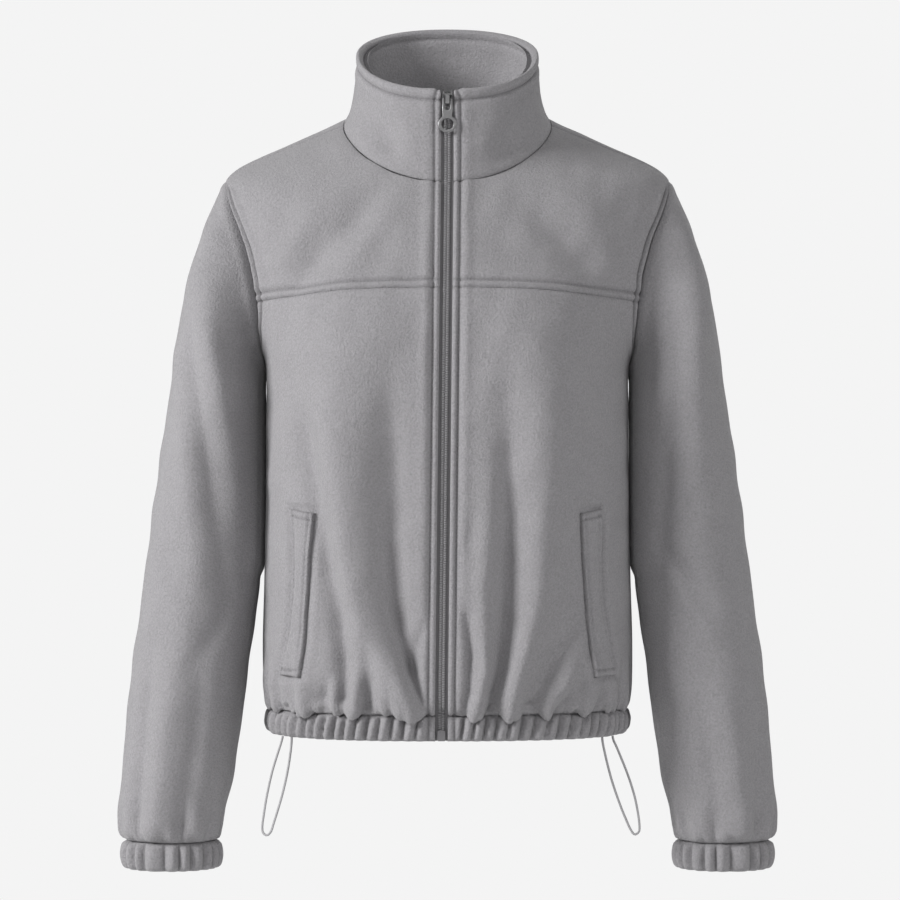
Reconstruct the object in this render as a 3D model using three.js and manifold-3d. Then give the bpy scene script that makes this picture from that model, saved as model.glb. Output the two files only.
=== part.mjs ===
// Women's cropped fleece jacket with a stand collar and a full-length front zip, filled out and empty.
// Millimetres, +Z up. The front faces -Y and the wearer's left is +X.
// The origin is the middle of the neck opening, level with the neck points of the shoulders.
import * as THREE from "three";
import { mergeVertices } from "three/addons/utils/BufferGeometryUtils.js";
import Module from "manifold-3d";

const wasm = await Module();
wasm.setup();

// Driving dimensions
const FLEECE = 2.2; // one layer of fleece
const BAND_THICK = 4; // hem casing: two layers round an elastic
const CUFF_THICK = 3.6;
const SEAM_GAP = 0.3; // between pieces that are sewn together
const ZIP_EDGE = 5.5; // from the middle of the zip to the edge of each front
const PLACKET = 15; // from the middle of the zip to where the stitched-down edge ends
const HALF_GAP = SEAM_GAP / 2;
const HEM_SEAM = -522.5; // level of the seam over the hem band
const HEM_EDGE = -544.5;
const CUFF_SEAM = -640;
const CUFF_EDGE = -664.6;
const BICEP_LEVEL = -248; // where the sleeve's sections become level
const SEWN = 14; // folds fade out this near a gathered seam
const SIDE_CALM = [0.06, 0.3]; // sines of the angles between which the relief fades towards the side seam
const ZIP_CALM = 20; // width beside the placket over which the relief fades towards the zip

const FRONT = -Math.PI / 2; // angle of the front's middle, seen from above
const radians = THREE.MathUtils.degToRad;

const table = (names, rows) => rows.map((row) => Object.fromEntries(names.map((name, i) => [name, row[i]])));

// Rings of the torso from the neckline down. "at" is the way down the cloth; half, front and back are reaches
// from the middle; z is given at the side, the front and the back; square is the power of the rounded oval.
const TORSO = table(
  ["at", "half", "front", "back", "zSide", "zFront", "zBack", "square"],
  [
    [0, 94, 76, 63, 0, -57, 16, 2.1],
    [55, 146, 88, 82, -21.5, -76, -12, 1.98],
    [97, 186, 96, 95, -38.5, -90, -36, 1.84],
    [114, 199.5, 99, 98.5, -50, -97, -49, 1.8],
    [138, 206, 103, 102, -70, -108, -68, 1.83],
    [165, 199, 107, 105, -98, -121, -92, 1.96],
    [222.6, 180, 115, 108, -163, -151.5, -150, 2.2],
    [280, 163.5, 122, 107, -215, -209, -208, 2.4],
    [325, 162.5, 125.5, 104, -258, -256, -255, 2.5],
    [405, 163, 125, 99, -338, -338, -338, 2.5],
    [475, 164.3, 124, 100, -408, -408, -408, 2.5],
    [530, 165.8, 125.5, 105, -463, -463, -463, 2.5],
    [565, 165, 129.5, 109, -498, -498, -498, 2.5],
    [582, 162.5, 127.5, 107, -514, -514, -514, 2.5],
    [591, 158.5, 120.5, 101.5, HEM_SEAM, HEM_SEAM, HEM_SEAM, 2.5],
  ],
);
const SHOULDER_POINT = 114; // "at" of the sleeve's highest point
const ARMPIT = 280;
const HEM = 591;

// Rings of the collar, from the rim down to the neckline, with the thickness of its two layers.
const COLLAR = table(
  ["at", "half", "front", "back", "zSide", "zFront", "zBack", "square", "thick"],
  [
    [0, 78.6, 77.4, 53, 66, 25, 94, 2.15, 2.4],
    [3, 80.6, 79.4, 55, 64.4, 23.4, 92.6, 2.15, 5],
    [8, 81.5, 80.1, 56, 59.6, 18.6, 88, 2.15, 6],
    [24, 82.3, 79.8, 57, 44, 2, 71, 2.12, 5.2],
    [44, 84.6, 78, 58.6, 24.5, -20, 50, 2.1, 5],
    [64, 89, 76.2, 61, 8.4, -42, 28.6, 2.1, 5],
    [78, 94, 76, 63, 0.3, -56.7, 16.3, 2.1, 5],
  ],
);
const COLLAR_BASE = 78;

// The armhole: a loop round the shoulder point and the armpit. front and back are its reaches in degrees.
const ARMHOLE = { middle: (SHOULDER_POINT + ARMPIT) / 2, reach: (ARMPIT - SHOULDER_POINT) / 2 };
ARMHOLE.front = radians(15);
ARMHOLE.back = radians(16);
ARMHOLE.lean = 0.18;
const ARMHOLE_STEPS = 10; // from the shoulder point to the armpit, on each side
const YOKE_STEP = 6; // the yoke seam meets the armhole at this step

// Level sections of the wearer's left sleeve below the bicep.
const SLEEVE = table(
  ["z", "xIn", "xOut", "depth", "yMiddle"],
  [
    [-248, 166.4, 250, 70, -3],
    [-292, 166.4, 257.2, 65.5, -5],
    [-337, 166.5, 263, 61.5, -7],
    [-409, 168, 272.6, 57, -10.5],
    [-445, 173, 277, 55.5, -13],
    [-517, 182, 285.4, 53, -17.5],
    [-571, 189.6, 290, 51, -21],
    [-607, 196.4, 292.6, 48, -23.2],
    [-630, 201.4, 290.8, 43, -24.6],
    [CUFF_SEAM, 204.6, 287.4, 37, -25],
  ],
);
const CAP_ROWS = 5;
const SLEEVE_LEVELS = [-292, -337, -380, -420, -460, -500, -538, -571, -598, -618, -631, -640];

// Soft ridges (height above 0) and troughs (below 0) of the fronts, as seen from the front, growing downwards.
const FRONT_FOLDS = table(
  ["x0", "z0", "x1", "z1", "width", "height"],
  [
    [-112, -318, -92, -400, 15, 4],
    [-92, -400, -88, -508, 13, 6],
    [-107, -360, -102, -508, 9, -5],
    [-88, -387, -60, -470, 14, 4.5],
    [-60, -470, -30, -520, 12, 6],
    [-62, -380, -38, -505, 9, -6],
    [-14, -436, -36, -500, 8, -4.5],
    [-118, -470, -112, -512, 10, -3.5],
    [71, -318, 66, -439, 18, 4.5],
    [66, -439, 54, -502, 14, 6],
    [50, -385, 47, -505, 12, -5.5],
    [19, -440, 28, -500, 11, 4.5],
    [100, -430, 96, -510, 13, 4],
    [64, -470, 70, -512, 8, -3.5],
    [118, -470, 111, -512, 9, -3.5],
    [-63, -80, -122, -142, 16, 2.5],
    [-70, -70, -148, -146, 13, -2],
    [64, -80, 124, -142, 18, 2.2],
  ],
);
const BACK_FOLDS = table(
  ["x0", "z0", "x1", "z1", "width", "height"],
  [
    [-96, -330, -82, -505, 15, 5],
    [-66, -370, -58, -505, 11, -5],
    [-34, -340, -30, -505, 16, 5.5],
    [4, -390, -2, -505, 11, -4.5],
    [34, -350, 38, -505, 15, 5],
    [66, -380, 62, -505, 11, -5],
    [98, -330, 90, -505, 16, 5],
    [-118, -430, -112, -505, 10, -4],
    [120, -430, 114, -505, 10, -4],
    [-80, -60, -140, -170, 18, 2.5],
    [80, -60, 140, -170, 18, 2.5],
  ],
);

// Soft ridges and troughs of a sleeve: turn in degrees from its outer edge, positive to the back.
const SLEEVE_FOLDS = table(
  ["turn0", "z0", "turn1", "z1", "width", "height"],
  [
    [-60, -150, -70, -420, 14, 3.5],
    [-95, -230, -100, -560, 12, -4.5],
    [-48, -330, -40, -600, 14, 3],
    [-118, -400, -80, -470, 12, -4],
    [-70, -480, -78, -620, 12, 3.5],
    [-20, -430, -25, -610, 12, -3],
    [60, -160, 70, -430, 15, 3.5],
    [95, -250, 100, -560, 13, -4],
    [48, -380, 55, -610, 14, 3],
    [120, -420, 84, -480, 12, -3.5],
  ],
);

const GATHERS = { hem: 64, body: 38, cuff: 20, sleeve: 9 }; // waves all round
const GATHER_HEIGHT = { hem: 1.5, body: 2.4, cuff: 1.4, sleeve: 2.2 };
const GATHER_LENGTH = { body: 62, sleeve: 44 }; // how far the body's and the sleeve's gathers run up the cloth

// Welt pocket of the wearer's left front: its corners as seen from the front.
const WELT = { thick: 2.6, edgeThick: 1.4, clear: 0.7, bow: 5, rows: 10, columns: 4 };
WELT.corners = table(
  ["x", "z"],
  [
    [113.5, -347.5],
    [134, -343.7],
    [125.5, -491],
    [146.5, -490],
  ],
);

// Zip: a coil chain between two tapes, its box, slider and pull.
const TAPE = { thick: 1, clear: 0.8, inner: 3.5, outer: 15, narrow: 5.2 };
const CHAIN = { half: 3.2, depth: 1, thick: 2.4, bevel: 0.7 };
const BOX = { half: 4.6, top: -534.7, bottom: -544.2, thick: 3.6 };
const SLIDER = { top: 22, bottom: 10.2, half: 4.5, plate: 1.2, inside: 3.2, face: -80 };
SLIDER.post = { half: 2.4, top: 21, bottom: 16 };
SLIDER.arch = { half: 1.8, top: 20.5, bottom: 10.4, thick: 1, rise: 3.2 };
const PULL = { pivot: 14.6, bar: 0.7, thick: 1.4, leg: 4.5, slot: 2.5, slotEnd: 5.2, neck: 4.1, neckLow: -1 };
PULL.ring = { middle: -7, outer: 8, outerHigh: 7.6, inner: 5.4, innerHigh: 5 };
PULL.y = SLIDER.face - 1.2; // far enough out that the fork's corners clear the slider as the pull swings

// Elastic cord: two loops hang from the hem band, their routes chosen by hand for the wearer's right.
const CORD = { radius: 1.05, sides: 8, steps: 26 };
const CORD_RIGHT = table(
  ["x", "y", "z"],
  [
    [-145.2, -60, -544.8],
    [-146.2, -60, -549],
    [-148.4, -60, -556],
    [-151.6, -59.6, -566],
    [-154.8, -59.2, -577],
    [-157.6, -58.8, -589],
    [-160.2, -58.4, -602],
    [-162.2, -58, -615],
    [-163.4, -57.8, -624],
    [-162.9, -57.8, -630.2],
    [-159.4, -58.2, -632.6],
    [-156, -58.8, -629.6],
    [-153.4, -59.4, -622],
    [-149.6, -60.4, -610],
    [-145.8, -61.8, -597],
    [-142.6, -63.4, -584],
    [-140, -65.2, -571],
    [-138.2, -67, -559],
    [-137.2, -68.2, -550],
    [-137, -68.6, -544.8],
  ],
);
const CORD_LEFT = table(
  ["x", "y", "z"],
  [
    [136, -69.2, -544.8],
    [136.4, -69, -549],
    [138, -68.2, -557],
    [140.8, -66.8, -569],
    [144.6, -65, -583],
    [149.2, -63.2, -597],
    [154, -61.6, -610],
    [158.2, -60.2, -620],
    [161.4, -59.2, -627],
    [165.2, -58.6, -631.8],
    [169, -58, -629.4],
    [169.4, -57.8, -623],
    [168, -57.6, -612],
    [165.6, -57.6, -600],
    [162.2, -57.8, -588],
    [158, -58.2, -576],
    [153.2, -58.8, -564],
    [149, -59.4, -554],
    [146.4, -59.8, -548.4],
    [145.6, -60, -544.8],
  ],
);

// A cubic through the rows of a table: each column is read at the key, with slopes from its neighbours.
function rowAt(rows, key, value) {
  const sign = Math.sign(rows[1][key] - rows[0][key]);
  let i = 0;
  while (i < rows.length - 2 && sign * value > sign * rows[i + 1][key]) i++;
  const slope = (name, k) => {
    const before = rows[Math.max(k - 1, 0)];
    const after = rows[Math.min(k + 1, rows.length - 1)];
    return (after[name] - before[name]) / (after[key] - before[key]);
  };
  const span = rows[i + 1][key] - rows[i][key];
  const t = (value - rows[i][key]) / span;
  const row = {};
  for (const name of Object.keys(rows[i])) {
    const [p, q] = [rows[i][name], rows[i + 1][name]];
    const [m, n] = [slope(name, i) * span, slope(name, i + 1) * span];
    const bend = 2 * (p - q) + m + n;
    const lift = 3 * (q - p) - 2 * m - n;
    row[name] = ((bend * t + lift) * t + m) * t + p;
  }
  return row;
}

// A point of a rounded oval ring at an angle seen from above. Its height is a parabola over y through the
// heights at the front, the side and the back.
function ringPoint(row, angle) {
  const [c, s] = [Math.cos(angle), Math.sin(angle)];
  const depth = s < 0 ? row.front : row.back;
  const sum = Math.abs(c / row.half) ** row.square + Math.abs(s / depth) ** row.square;
  const radius = sum ** (-1 / row.square);
  const y = radius * s;
  const toFront = (row.zFront - row.zSide) / row.front;
  const toBack = (row.zBack - row.zSide) / row.back;
  const bend = (toFront + toBack) / (row.front + row.back);
  const slope = toBack - bend * row.back;
  return new THREE.Vector3(radius * c, y, row.zSide + (slope + bend * y) * y);
}

// The outward normal of a surface given as a function of the way down and the angle.
function normalOf(surface, down, angle) {
  const [step, turn] = [0.5, 0.004];
  const along = surface(down + step, angle).sub(surface(down - step, angle));
  const round = surface(down, angle + turn).sub(surface(down, angle - turn));
  return along.cross(round).normalize();
}

const smooth = (from, to, value) => THREE.MathUtils.smoothstep(value, Math.min(from, to), Math.max(from, to));
const rising = (from, to, value) => (from < to ? smooth(from, to, value) : 1 - smooth(from, to, value));

// How much a soft fold lifts the cloth at a place: a bell across its line, growing along the first half of it.
function foldLift(fold, x, z, x0, x1) {
  const [dx, dz] = [x1 - x0, fold.z1 - fold.z0];
  const along = ((x - x0) * dx + (z - fold.z0) * dz) / (dx * dx + dz * dz);
  const t = THREE.MathUtils.clamp(along, 0, 1);
  const away = Math.hypot(x - x0 - t * dx, z - fold.z0 - t * dz);
  return fold.height * Math.exp(-((away / fold.width) ** 2)) * (0.15 + 0.85 * rising(0, 0.6, t));
}

// An uneven wave for gathers: neighbouring gathers differ in width.
const uneven = (count, angle) => Math.cos(count * angle + 1.3 * Math.sin(3 * angle + 0.7) + 0.8 * Math.sin(7 * angle));

// How far the gathers over a seam stand out: they fade up the cloth and are drawn in at the seam itself.
function gatherFade(above, length) {
  return rising(length, 12, above) * (0.35 + 0.65 * rising(0, 10, above));
}

const torsoBase = (at, angle) => ringPoint(rowAt(TORSO, "at", at), angle);
const torsoNormal = (at, angle) => normalOf(torsoBase, at, angle);

function torsoRelief(at, angle, base) {
  const folds = base.y < 0 ? FRONT_FOLDS : BACK_FOLDS;
  let lift = 0;
  for (const fold of folds) lift += foldLift(fold, base.x, base.z, fold.x0, fold.x1);
  lift *= rising(0, SEWN, HEM - at);
  const gathers = GATHER_HEIGHT.body * uneven(GATHERS.body, angle) * gatherFade(HEM - at, GATHER_LENGTH.body);
  const fromSide = Math.abs(Math.sin(angle));
  const fromZip = base.y < 0 ? rising(PLACKET, PLACKET + ZIP_CALM, Math.abs(base.x)) : 1;
  return (lift + gathers) * rising(...SIDE_CALM, fromSide) * fromZip;
}

function torsoPoint(at, angle) {
  const base = torsoBase(at, angle);
  return base.addScaledVector(torsoNormal(at, angle), torsoRelief(at, angle, base));
}

// The direction in which the sleeve leaves the armhole: out and down, a little to the front or back.
function sleeveStart(turn) {
  const side = Math.sin(turn);
  const out = 0.3 + 0.45 * side * side + 0.1 * (1 + Math.cos(turn));
  return new THREE.Vector3(out, 0.3 * side, -(0.5 + 0.4 * Math.cos(turn) ** 2)).normalize();
}

// The armhole at a turn: 0 is the shoulder point, positive turns go by the back, and half a turn is the armpit.
function armholePlace(turn) {
  const at = ARMHOLE.middle - ARMHOLE.reach * Math.cos(turn);
  const swing = Math.sin(turn) < 0 ? ARMHOLE.front : ARMHOLE.back;
  return { at, angle: swing * Math.sin(turn) * (1 - ARMHOLE.lean * Math.cos(turn)) };
}

// A point of the armhole seam, with the mitre between body and sleeve: out of the cloth, and over to the sleeve.
function armholeSeam(turn) {
  const point = (t) => {
    const { at, angle } = armholePlace(t);
    return torsoPoint(at, angle);
  };
  const step = 0.01;
  const along = point(turn + step).sub(point(turn - step)).normalize();
  const { at, angle } = armholePlace(turn);
  const ofSleeve = sleeveStart(turn).cross(along).normalize();
  const out = torsoNormal(at, angle).add(ofSleeve);
  out.addScaledVector(along, -out.dot(along)).normalize();
  return { point: point(turn), out, over: along.clone().cross(out).normalize() };
}

const mirrored = (point, side) => new THREE.Vector3(point.x * side, point.y, point.z);

// The two faces of a wall at a seam of the armhole, for the body (way -1) or the sleeve (way 1).
function seamWall(turn, way) {
  const seam = armholeSeam(turn);
  const outer = seam.point.addScaledVector(seam.over, (way * SEAM_GAP) / 2);
  return { outer, inner: outer.clone().addScaledVector(seam.out, -FLEECE) };
}

// A solid from vertices and triangles, with its faces turned outwards.
function solid(points, triangles) {
  let volume = 0;
  for (const [a, b, c] of triangles) volume += points[a].dot(points[b].clone().cross(points[c]));
  const index = triangles.flatMap(([a, b, c]) => (volume < 0 ? [a, c, b] : [a, b, c]));
  const geometry = new THREE.BufferGeometry().setFromPoints(points);
  geometry.setIndex(index);
  geometry.computeVertexNormals();
  return geometry;
}

// A cloth wall from a grid of places with an outer and an inner point, its open edges closed.
function wall(grid, round = false) {
  const [rows, columns] = [grid.length, grid[0].length];
  const points = [];
  for (const face of ["outer", "inner"]) for (const row of grid) for (const place of row) points.push(place[face]);
  const id = (i, j, inside) => inside * rows * columns + i * columns + (j % columns);
  const triangles = [];
  const quad = (a, b, c, d) => triangles.push([a, b, c], [a, c, d]);
  const last = round ? columns : columns - 1;
  for (let i = 0; i < rows - 1; i++) {
    for (let j = 0; j < last; j++) {
      quad(id(i, j, 0), id(i + 1, j, 0), id(i + 1, j + 1, 0), id(i, j + 1, 0));
      quad(id(i, j, 1), id(i, j + 1, 1), id(i + 1, j + 1, 1), id(i + 1, j, 1));
    }
  }
  for (let j = 0; j < last; j++) {
    quad(id(0, j, 0), id(0, j + 1, 0), id(0, j + 1, 1), id(0, j, 1));
    quad(id(rows - 1, j, 1), id(rows - 1, j + 1, 1), id(rows - 1, j + 1, 0), id(rows - 1, j, 0));
  }
  if (!round) {
    for (let i = 0; i < rows - 1; i++) {
      quad(id(i, 0, 0), id(i, 0, 1), id(i + 1, 0, 1), id(i + 1, 0, 0));
      quad(id(i, last, 1), id(i, last, 0), id(i + 1, last, 0), id(i + 1, last, 1));
    }
  }
  return solid(points, triangles);
}

// A solid through closed loops of points, capped at both ends.
function loft(loops) {
  const sides = loops[0].length;
  const points = loops.flat();
  const triangles = [];
  for (let i = 0; i < loops.length - 1; i++) {
    for (let j = 0; j < sides; j++) {
      const [a, b] = [i * sides + j, i * sides + ((j + 1) % sides)];
      triangles.push([a, b, b + sides], [a, b + sides, a + sides]);
    }
  }
  const end = (loops.length - 1) * sides;
  for (let j = 1; j < sides - 1; j++) triangles.push([0, j + 1, j], [end, end + j, end + j + 1]);
  return solid(points, triangles);
}

const range = (count) => Array.from({ length: count + 1 }, (_, i) => i / count);

const armholeTurns = range(ARMHOLE_STEPS).map((t) => t * Math.PI);
const armholeLevels = armholeTurns.map((turn) => ({ turn, at: armholePlace(turn).at }));
const plainLevels = (...levels) => levels.map((at) => ({ at }));

// The two faces of the torso's wall at a level and angle; edges level with a seam keep to its height.
function torsoWall(at, angle, flatAt) {
  const outer = torsoPoint(at, angle);
  const inner = outer.clone().addScaledVector(torsoNormal(at, angle), -FLEECE);
  if (flatAt !== undefined) outer.z = inner.z = flatAt;
  return { outer, inner };
}

// The place of a panel's side edge: on the armhole where the level has a turn, else on the shoulder or side seam.
function sideEdge(level, way, side) {
  const shift = (way * SEAM_GAP) / 2;
  if (level.turn === undefined) {
    const radius = torsoBase(level.at, 0).x;
    const angle = shift / radius;
    return torsoWall(level.at, side > 0 ? angle : Math.PI - angle, level.z);
  }
  const edge = seamWall(way * level.turn, -1);
  const isCorner = level.turn === 0 || level.turn === Math.PI;
  for (const point of [edge.outer, edge.inner]) {
    if (isCorner) point.y += shift;
    point.x *= side;
  }
  return edge;
}

// How far round a panel's side edge is at a level.
function sideAngle(level, way) {
  return level.turn === undefined ? 0 : armholePlace(way * level.turn).angle;
}

// A front panel between the zip and the side. side is 1 for the wearer's left.
function frontPanel(levels, columns, side) {
  return levels.map((level) => {
    const depth = -torsoBase(level.at, FRONT).y;
    const zipAngle = FRONT + Math.atan(ZIP_EDGE / depth);
    const end = sideAngle(level, -1);
    return range(columns).map((t) => {
      if (t === 1) return sideEdge(level, -1, side);
      const angle = zipAngle + (end - zipAngle) * t;
      return torsoWall(level.at, side > 0 ? angle : Math.PI - angle, level.z);
    });
  });
}

function backPanel(levels, columns) {
  return levels.map((level) => {
    const start = sideAngle(level, 1);
    return range(columns).map((t) => {
      if (t === 0) return sideEdge(level, 1, 1);
      if (t === 1) return sideEdge(level, 1, -1);
      return torsoWall(level.at, start + (Math.PI - 2 * start) * t, level.z);
    });
  });
}

const yokeSeam = armholePlace(armholeTurns[YOKE_STEP]).at;
const turnAt = (at) => Math.acos((ARMHOLE.middle - at) / ARMHOLE.reach);
const SHOULDER_LEVELS = [0, 36, 78];
const yokeLevels = [
  ...plainLevels(...SHOULDER_LEVELS),
  ...armholeLevels.slice(0, YOKE_STEP),
  { at: yokeSeam - HALF_GAP, turn: turnAt(yokeSeam - HALF_GAP) },
];
const hemLevel = { at: HEM, z: HEM_SEAM + HALF_GAP };
const belowArmpit = [...plainLevels(305, 350, 398, 442, 482, 516, 544, 565, 581), hemLevel];
const frontLevels = [
  { at: yokeSeam + HALF_GAP, turn: turnAt(yokeSeam + HALF_GAP) },
  ...armholeLevels.slice(YOKE_STEP + 1),
  ...belowArmpit,
];
const backLevels = [...plainLevels(...SHOULDER_LEVELS), ...armholeLevels, ...belowArmpit];

// The collar, from the front edge on one side round the back to the other.
const collarBase = (at, angle) => ringPoint(rowAt(COLLAR, "at", at), angle);

function collarPoint(at, angle) {
  const base = collarBase(at, angle);
  const fold = Math.exp(-(((Math.abs(base.x) - 52 - 0.2 * base.z) / 13) ** 2)) * (base.y < 0 ? 1 : 0);
  const lift = -1.8 * fold * rising(0, 24, at) * rising(0, 20, COLLAR_BASE - at);
  return base.addScaledVector(normalOf(collarBase, at, angle), lift);
}

function collar() {
  const columns = 42;
  const levels = [0, 3, 8, 24, 44, 62, COLLAR_BASE];
  return levels.map((at) => {
    const row = rowAt(COLLAR, "at", at);
    const start = FRONT + Math.atan(ZIP_EDGE / row.front);
    return range(columns).map((t) => {
      const angle = start + (2 * Math.PI - 2 * (start - FRONT)) * t;
      const outer = collarPoint(at, angle);
      const inner = outer.clone().addScaledVector(normalOf(collarBase, at, angle), -row.thick);
      return { outer, inner };
    });
  });
}

// The hem band: a gathered casing, open at the zip.
function hemBand() {
  const columns = 3 * GATHERS.hem;
  const rows = table(
    ["z", "grow", "wave", "thick"],
    [
      [HEM_SEAM - HALF_GAP, 0, 0.7, BAND_THICK - 0.6],
      [-533.5, 1.6, 1, BAND_THICK + 0.8],
      [HEM_EDGE, 0.2, 0.6, BAND_THICK - 1],
    ],
  );
  const seam = rowAt(TORSO, "at", HEM);
  const start = FRONT + Math.atan(ZIP_EDGE / seam.front);
  return rows.map((row) =>
    range(columns).map((t) => {
      const angle = start + (2 * Math.PI - 2 * (start - FRONT)) * t;
      const base = ringPoint(seam, angle);
      const out = normalOf((down, a) => ringPoint(seam, a).setZ(-down), 0, angle);
      const fromZip = base.y < 0 ? rising(ZIP_EDGE, ZIP_EDGE + 12, Math.abs(base.x)) : 1;
      const wave = GATHER_HEIGHT.hem * row.wave * uneven(GATHERS.hem, angle) * fromZip;
      const outer = base.clone().addScaledVector(out, row.grow + wave).setZ(row.z);
      const inner = base.clone().addScaledVector(out, row.grow - row.thick).setZ(row.z);
      return { outer, inner };
    }),
  );
}

// A level section of the wearer's left sleeve.
function sleeveRing(z, turn) {
  const row = rowAt(SLEEVE, "z", z);
  const [middle, half] = [(row.xIn + row.xOut) / 2, (row.xOut - row.xIn) / 2];
  return new THREE.Vector3(middle + half * Math.cos(turn), row.yMiddle + row.depth * Math.sin(turn), z);
}

// The sleeve's cap: a curve at each turn from the armhole to the first level section.
function capPoint(t, turn) {
  const start = armholeSeam(turn).point;
  const end = sleeveRing(BICEP_LEVEL, turn);
  const length = start.distanceTo(end);
  const leave = sleeveStart(turn).multiplyScalar(1.2 * length);
  const arrive = sleeveRing(BICEP_LEVEL - 1, turn).sub(end).normalize().multiplyScalar(length);
  const [t2, t3] = [t * t, t * t * t];
  return start
    .multiplyScalar(2 * t3 - 3 * t2 + 1)
    .addScaledVector(leave, t3 - 2 * t2 + t)
    .addScaledVector(end, 3 * t2 - 2 * t3)
    .addScaledVector(arrive, t3 - t2);
}

function sleeveRelief(point, turn) {
  const degrees = THREE.MathUtils.radToDeg(turn); // a degree round the sleeve is about a millimetre
  let lift = 0;
  for (const fold of SLEEVE_FOLDS) lift += foldLift(fold, degrees, point.z, fold.turn0, fold.turn1);
  const above = point.z - CUFF_SEAM;
  lift *= rising(0, SEWN, above);
  const gathers = GATHER_HEIGHT.sleeve * uneven(GATHERS.sleeve, turn) * gatherFade(above, GATHER_LENGTH.sleeve);
  const inside = rising(-0.95, -0.6, Math.cos(turn));
  return (lift * inside + gathers) * rising(-120, -150, point.z);
}

// A sleeve's surface: t from 0 to 1 is the cap, and past 1 the millimetres below the bicep over 100.
function sleeveBase(t, turn) {
  return t <= 1 ? capPoint(t, turn) : sleeveRing(BICEP_LEVEL - (t - 1) * 100, turn);
}

function sleeveNormal(t, turn) {
  const step = t < 1 ? 0.01 : 0.005;
  const along = sleeveBase(t + step, turn).sub(sleeveBase(t - step, turn));
  const round = sleeveBase(t, turn + 0.01).sub(sleeveBase(t, turn - 0.01));
  return along.cross(round).normalize();
}

function sleeve(side) {
  const turns = [
    ...armholeTurns.slice(0, ARMHOLE_STEPS),
    ...armholeTurns.slice(1).reverse().map((turn) => -turn),
  ];
  const places = [...range(CAP_ROWS), ...SLEEVE_LEVELS.map((z) => 1 + (BICEP_LEVEL - z) / 100)];
  return places.map((t, i) =>
    turns.map((turn) => {
      if (i === 0) {
        const seam = seamWall(turn, 1);
        return { outer: mirrored(seam.outer, side), inner: mirrored(seam.inner, side) };
      }
      const normal = sleeveNormal(t, turn);
      const base = sleeveBase(t, turn);
      const outer = base.clone().addScaledVector(normal, sleeveRelief(base, turn));
      const inner = outer.clone().addScaledVector(normal, -FLEECE);
      if (i === places.length - 1) outer.z = inner.z = CUFF_SEAM + HALF_GAP;
      return { outer: mirrored(outer, side), inner: mirrored(inner, side) };
    }),
  );
}

function cuff(side) {
  const columns = 64;
  const rows = table(
    ["z", "grow", "wave", "thick"],
    [
      [CUFF_SEAM - HALF_GAP, 0, 0.8, CUFF_THICK - 0.6],
      [-652.5, 1.6, 1, CUFF_THICK + 0.8],
      [CUFF_EDGE, 0.3, 0.6, CUFF_THICK - 1],
    ],
  );
  return rows.map((row) =>
    range(columns)
      .slice(0, columns)
      .map((t) => {
        const turn = 2 * Math.PI * t;
        const base = sleeveRing(CUFF_SEAM, turn);
        const out = new THREE.Vector3(Math.cos(turn), Math.sin(turn), 0);
        const wave = GATHER_HEIGHT.cuff * row.wave * uneven(GATHERS.cuff, turn);
        const outer = base.clone().addScaledVector(out, row.grow + wave).setZ(row.z);
        const inner = base.clone().addScaledVector(out, row.grow - row.thick).setZ(row.z);
        return { outer: mirrored(outer, side), inner: mirrored(inner, side) };
      }),
  );
}

// A place on a panel's own grid, u across and v down, both counted in cells.
function onGrid(grid, u, v) {
  const i = Math.min(Math.floor(v), grid.length - 2);
  const j = Math.min(Math.floor(u), grid[0].length - 2);
  const mix = (face) => {
    const top = grid[i][j][face].clone().lerp(grid[i][j + 1][face], u - j);
    const low = grid[i + 1][j][face].clone().lerp(grid[i + 1][j + 1][face], u - j);
    return top.lerp(low, v - i);
  };
  return { outer: mix("outer"), inner: mix("inner") };
}

// The same place found from where it is seen from the front.
function onGridAt(grid, x, z) {
  const [columns, rows] = [grid[0].length - 1, grid.length - 1];
  let [u, v] = [columns / 2, rows / 2];
  const search = (high, reads) => {
    let [low, top] = [0, high];
    for (let k = 0; k < 30; k++) {
      const middle = (low + top) / 2;
      if (reads(middle)) low = middle;
      else top = middle;
    }
    return low;
  };
  for (let k = 0; k < 6; k++) {
    v = search(rows, (value) => onGrid(grid, u, value).outer.z > z);
    u = search(columns, (value) => Math.abs(onGrid(grid, value, v).outer.x) < Math.abs(x));
  }
  return onGrid(grid, u, v);
}

// A welt pocket sewn on a front: made from the panel's own points, moved out.
function welt(panel, side) {
  const [topIn, topOut, lowIn, lowOut] = WELT.corners;
  return range(WELT.rows).map((v) =>
    range(WELT.columns).map((u) => {
      const top = topIn.x + (topOut.x - topIn.x) * u;
      const low = lowIn.x + (lowOut.x - lowIn.x) * u;
      const bow = -WELT.bow * Math.sin(Math.PI * v) * u;
      const x = (top + (low - top) * v + bow) * side;
      const zTop = topIn.z + (topOut.z - topIn.z) * u;
      const zLow = lowIn.z + (lowOut.z - lowIn.z) * u;
      const { outer: below, inner: inside } = onGridAt(panel, x, zTop + (zLow - zTop) * v);
      const out = below.clone().sub(inside).normalize();
      const atEdge = u === 0 || u === 1 || v === 0 || v === 1;
      const thick = atEdge ? WELT.edgeThick : WELT.thick;
      return {
        outer: below.clone().addScaledVector(out, WELT.clear + thick),
        inner: below.clone().addScaledVector(out, WELT.clear),
      };
    }),
  );
}

// Levels of the zip from the collar's rim to the hem, each with the surface that it follows.
function zipLine() {
  const line = [];
  for (const at of [3, 24, 50, 76]) line.push({ surface: collarBase, at, wide: false });
  line.push({ surface: torsoBase, at: 0.6, wide: false });
  for (const at of [1.8, 45, 90, 150, 222, 300, 400, 475, 530, 560, 580]) {
    line.push({ surface: torsoBase, at, wide: true });
  }
  line.push({ surface: torsoBase, at: 589.6, wide: true }, { surface: torsoBase, at: 590.6, wide: false });
  return line;
}

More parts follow.
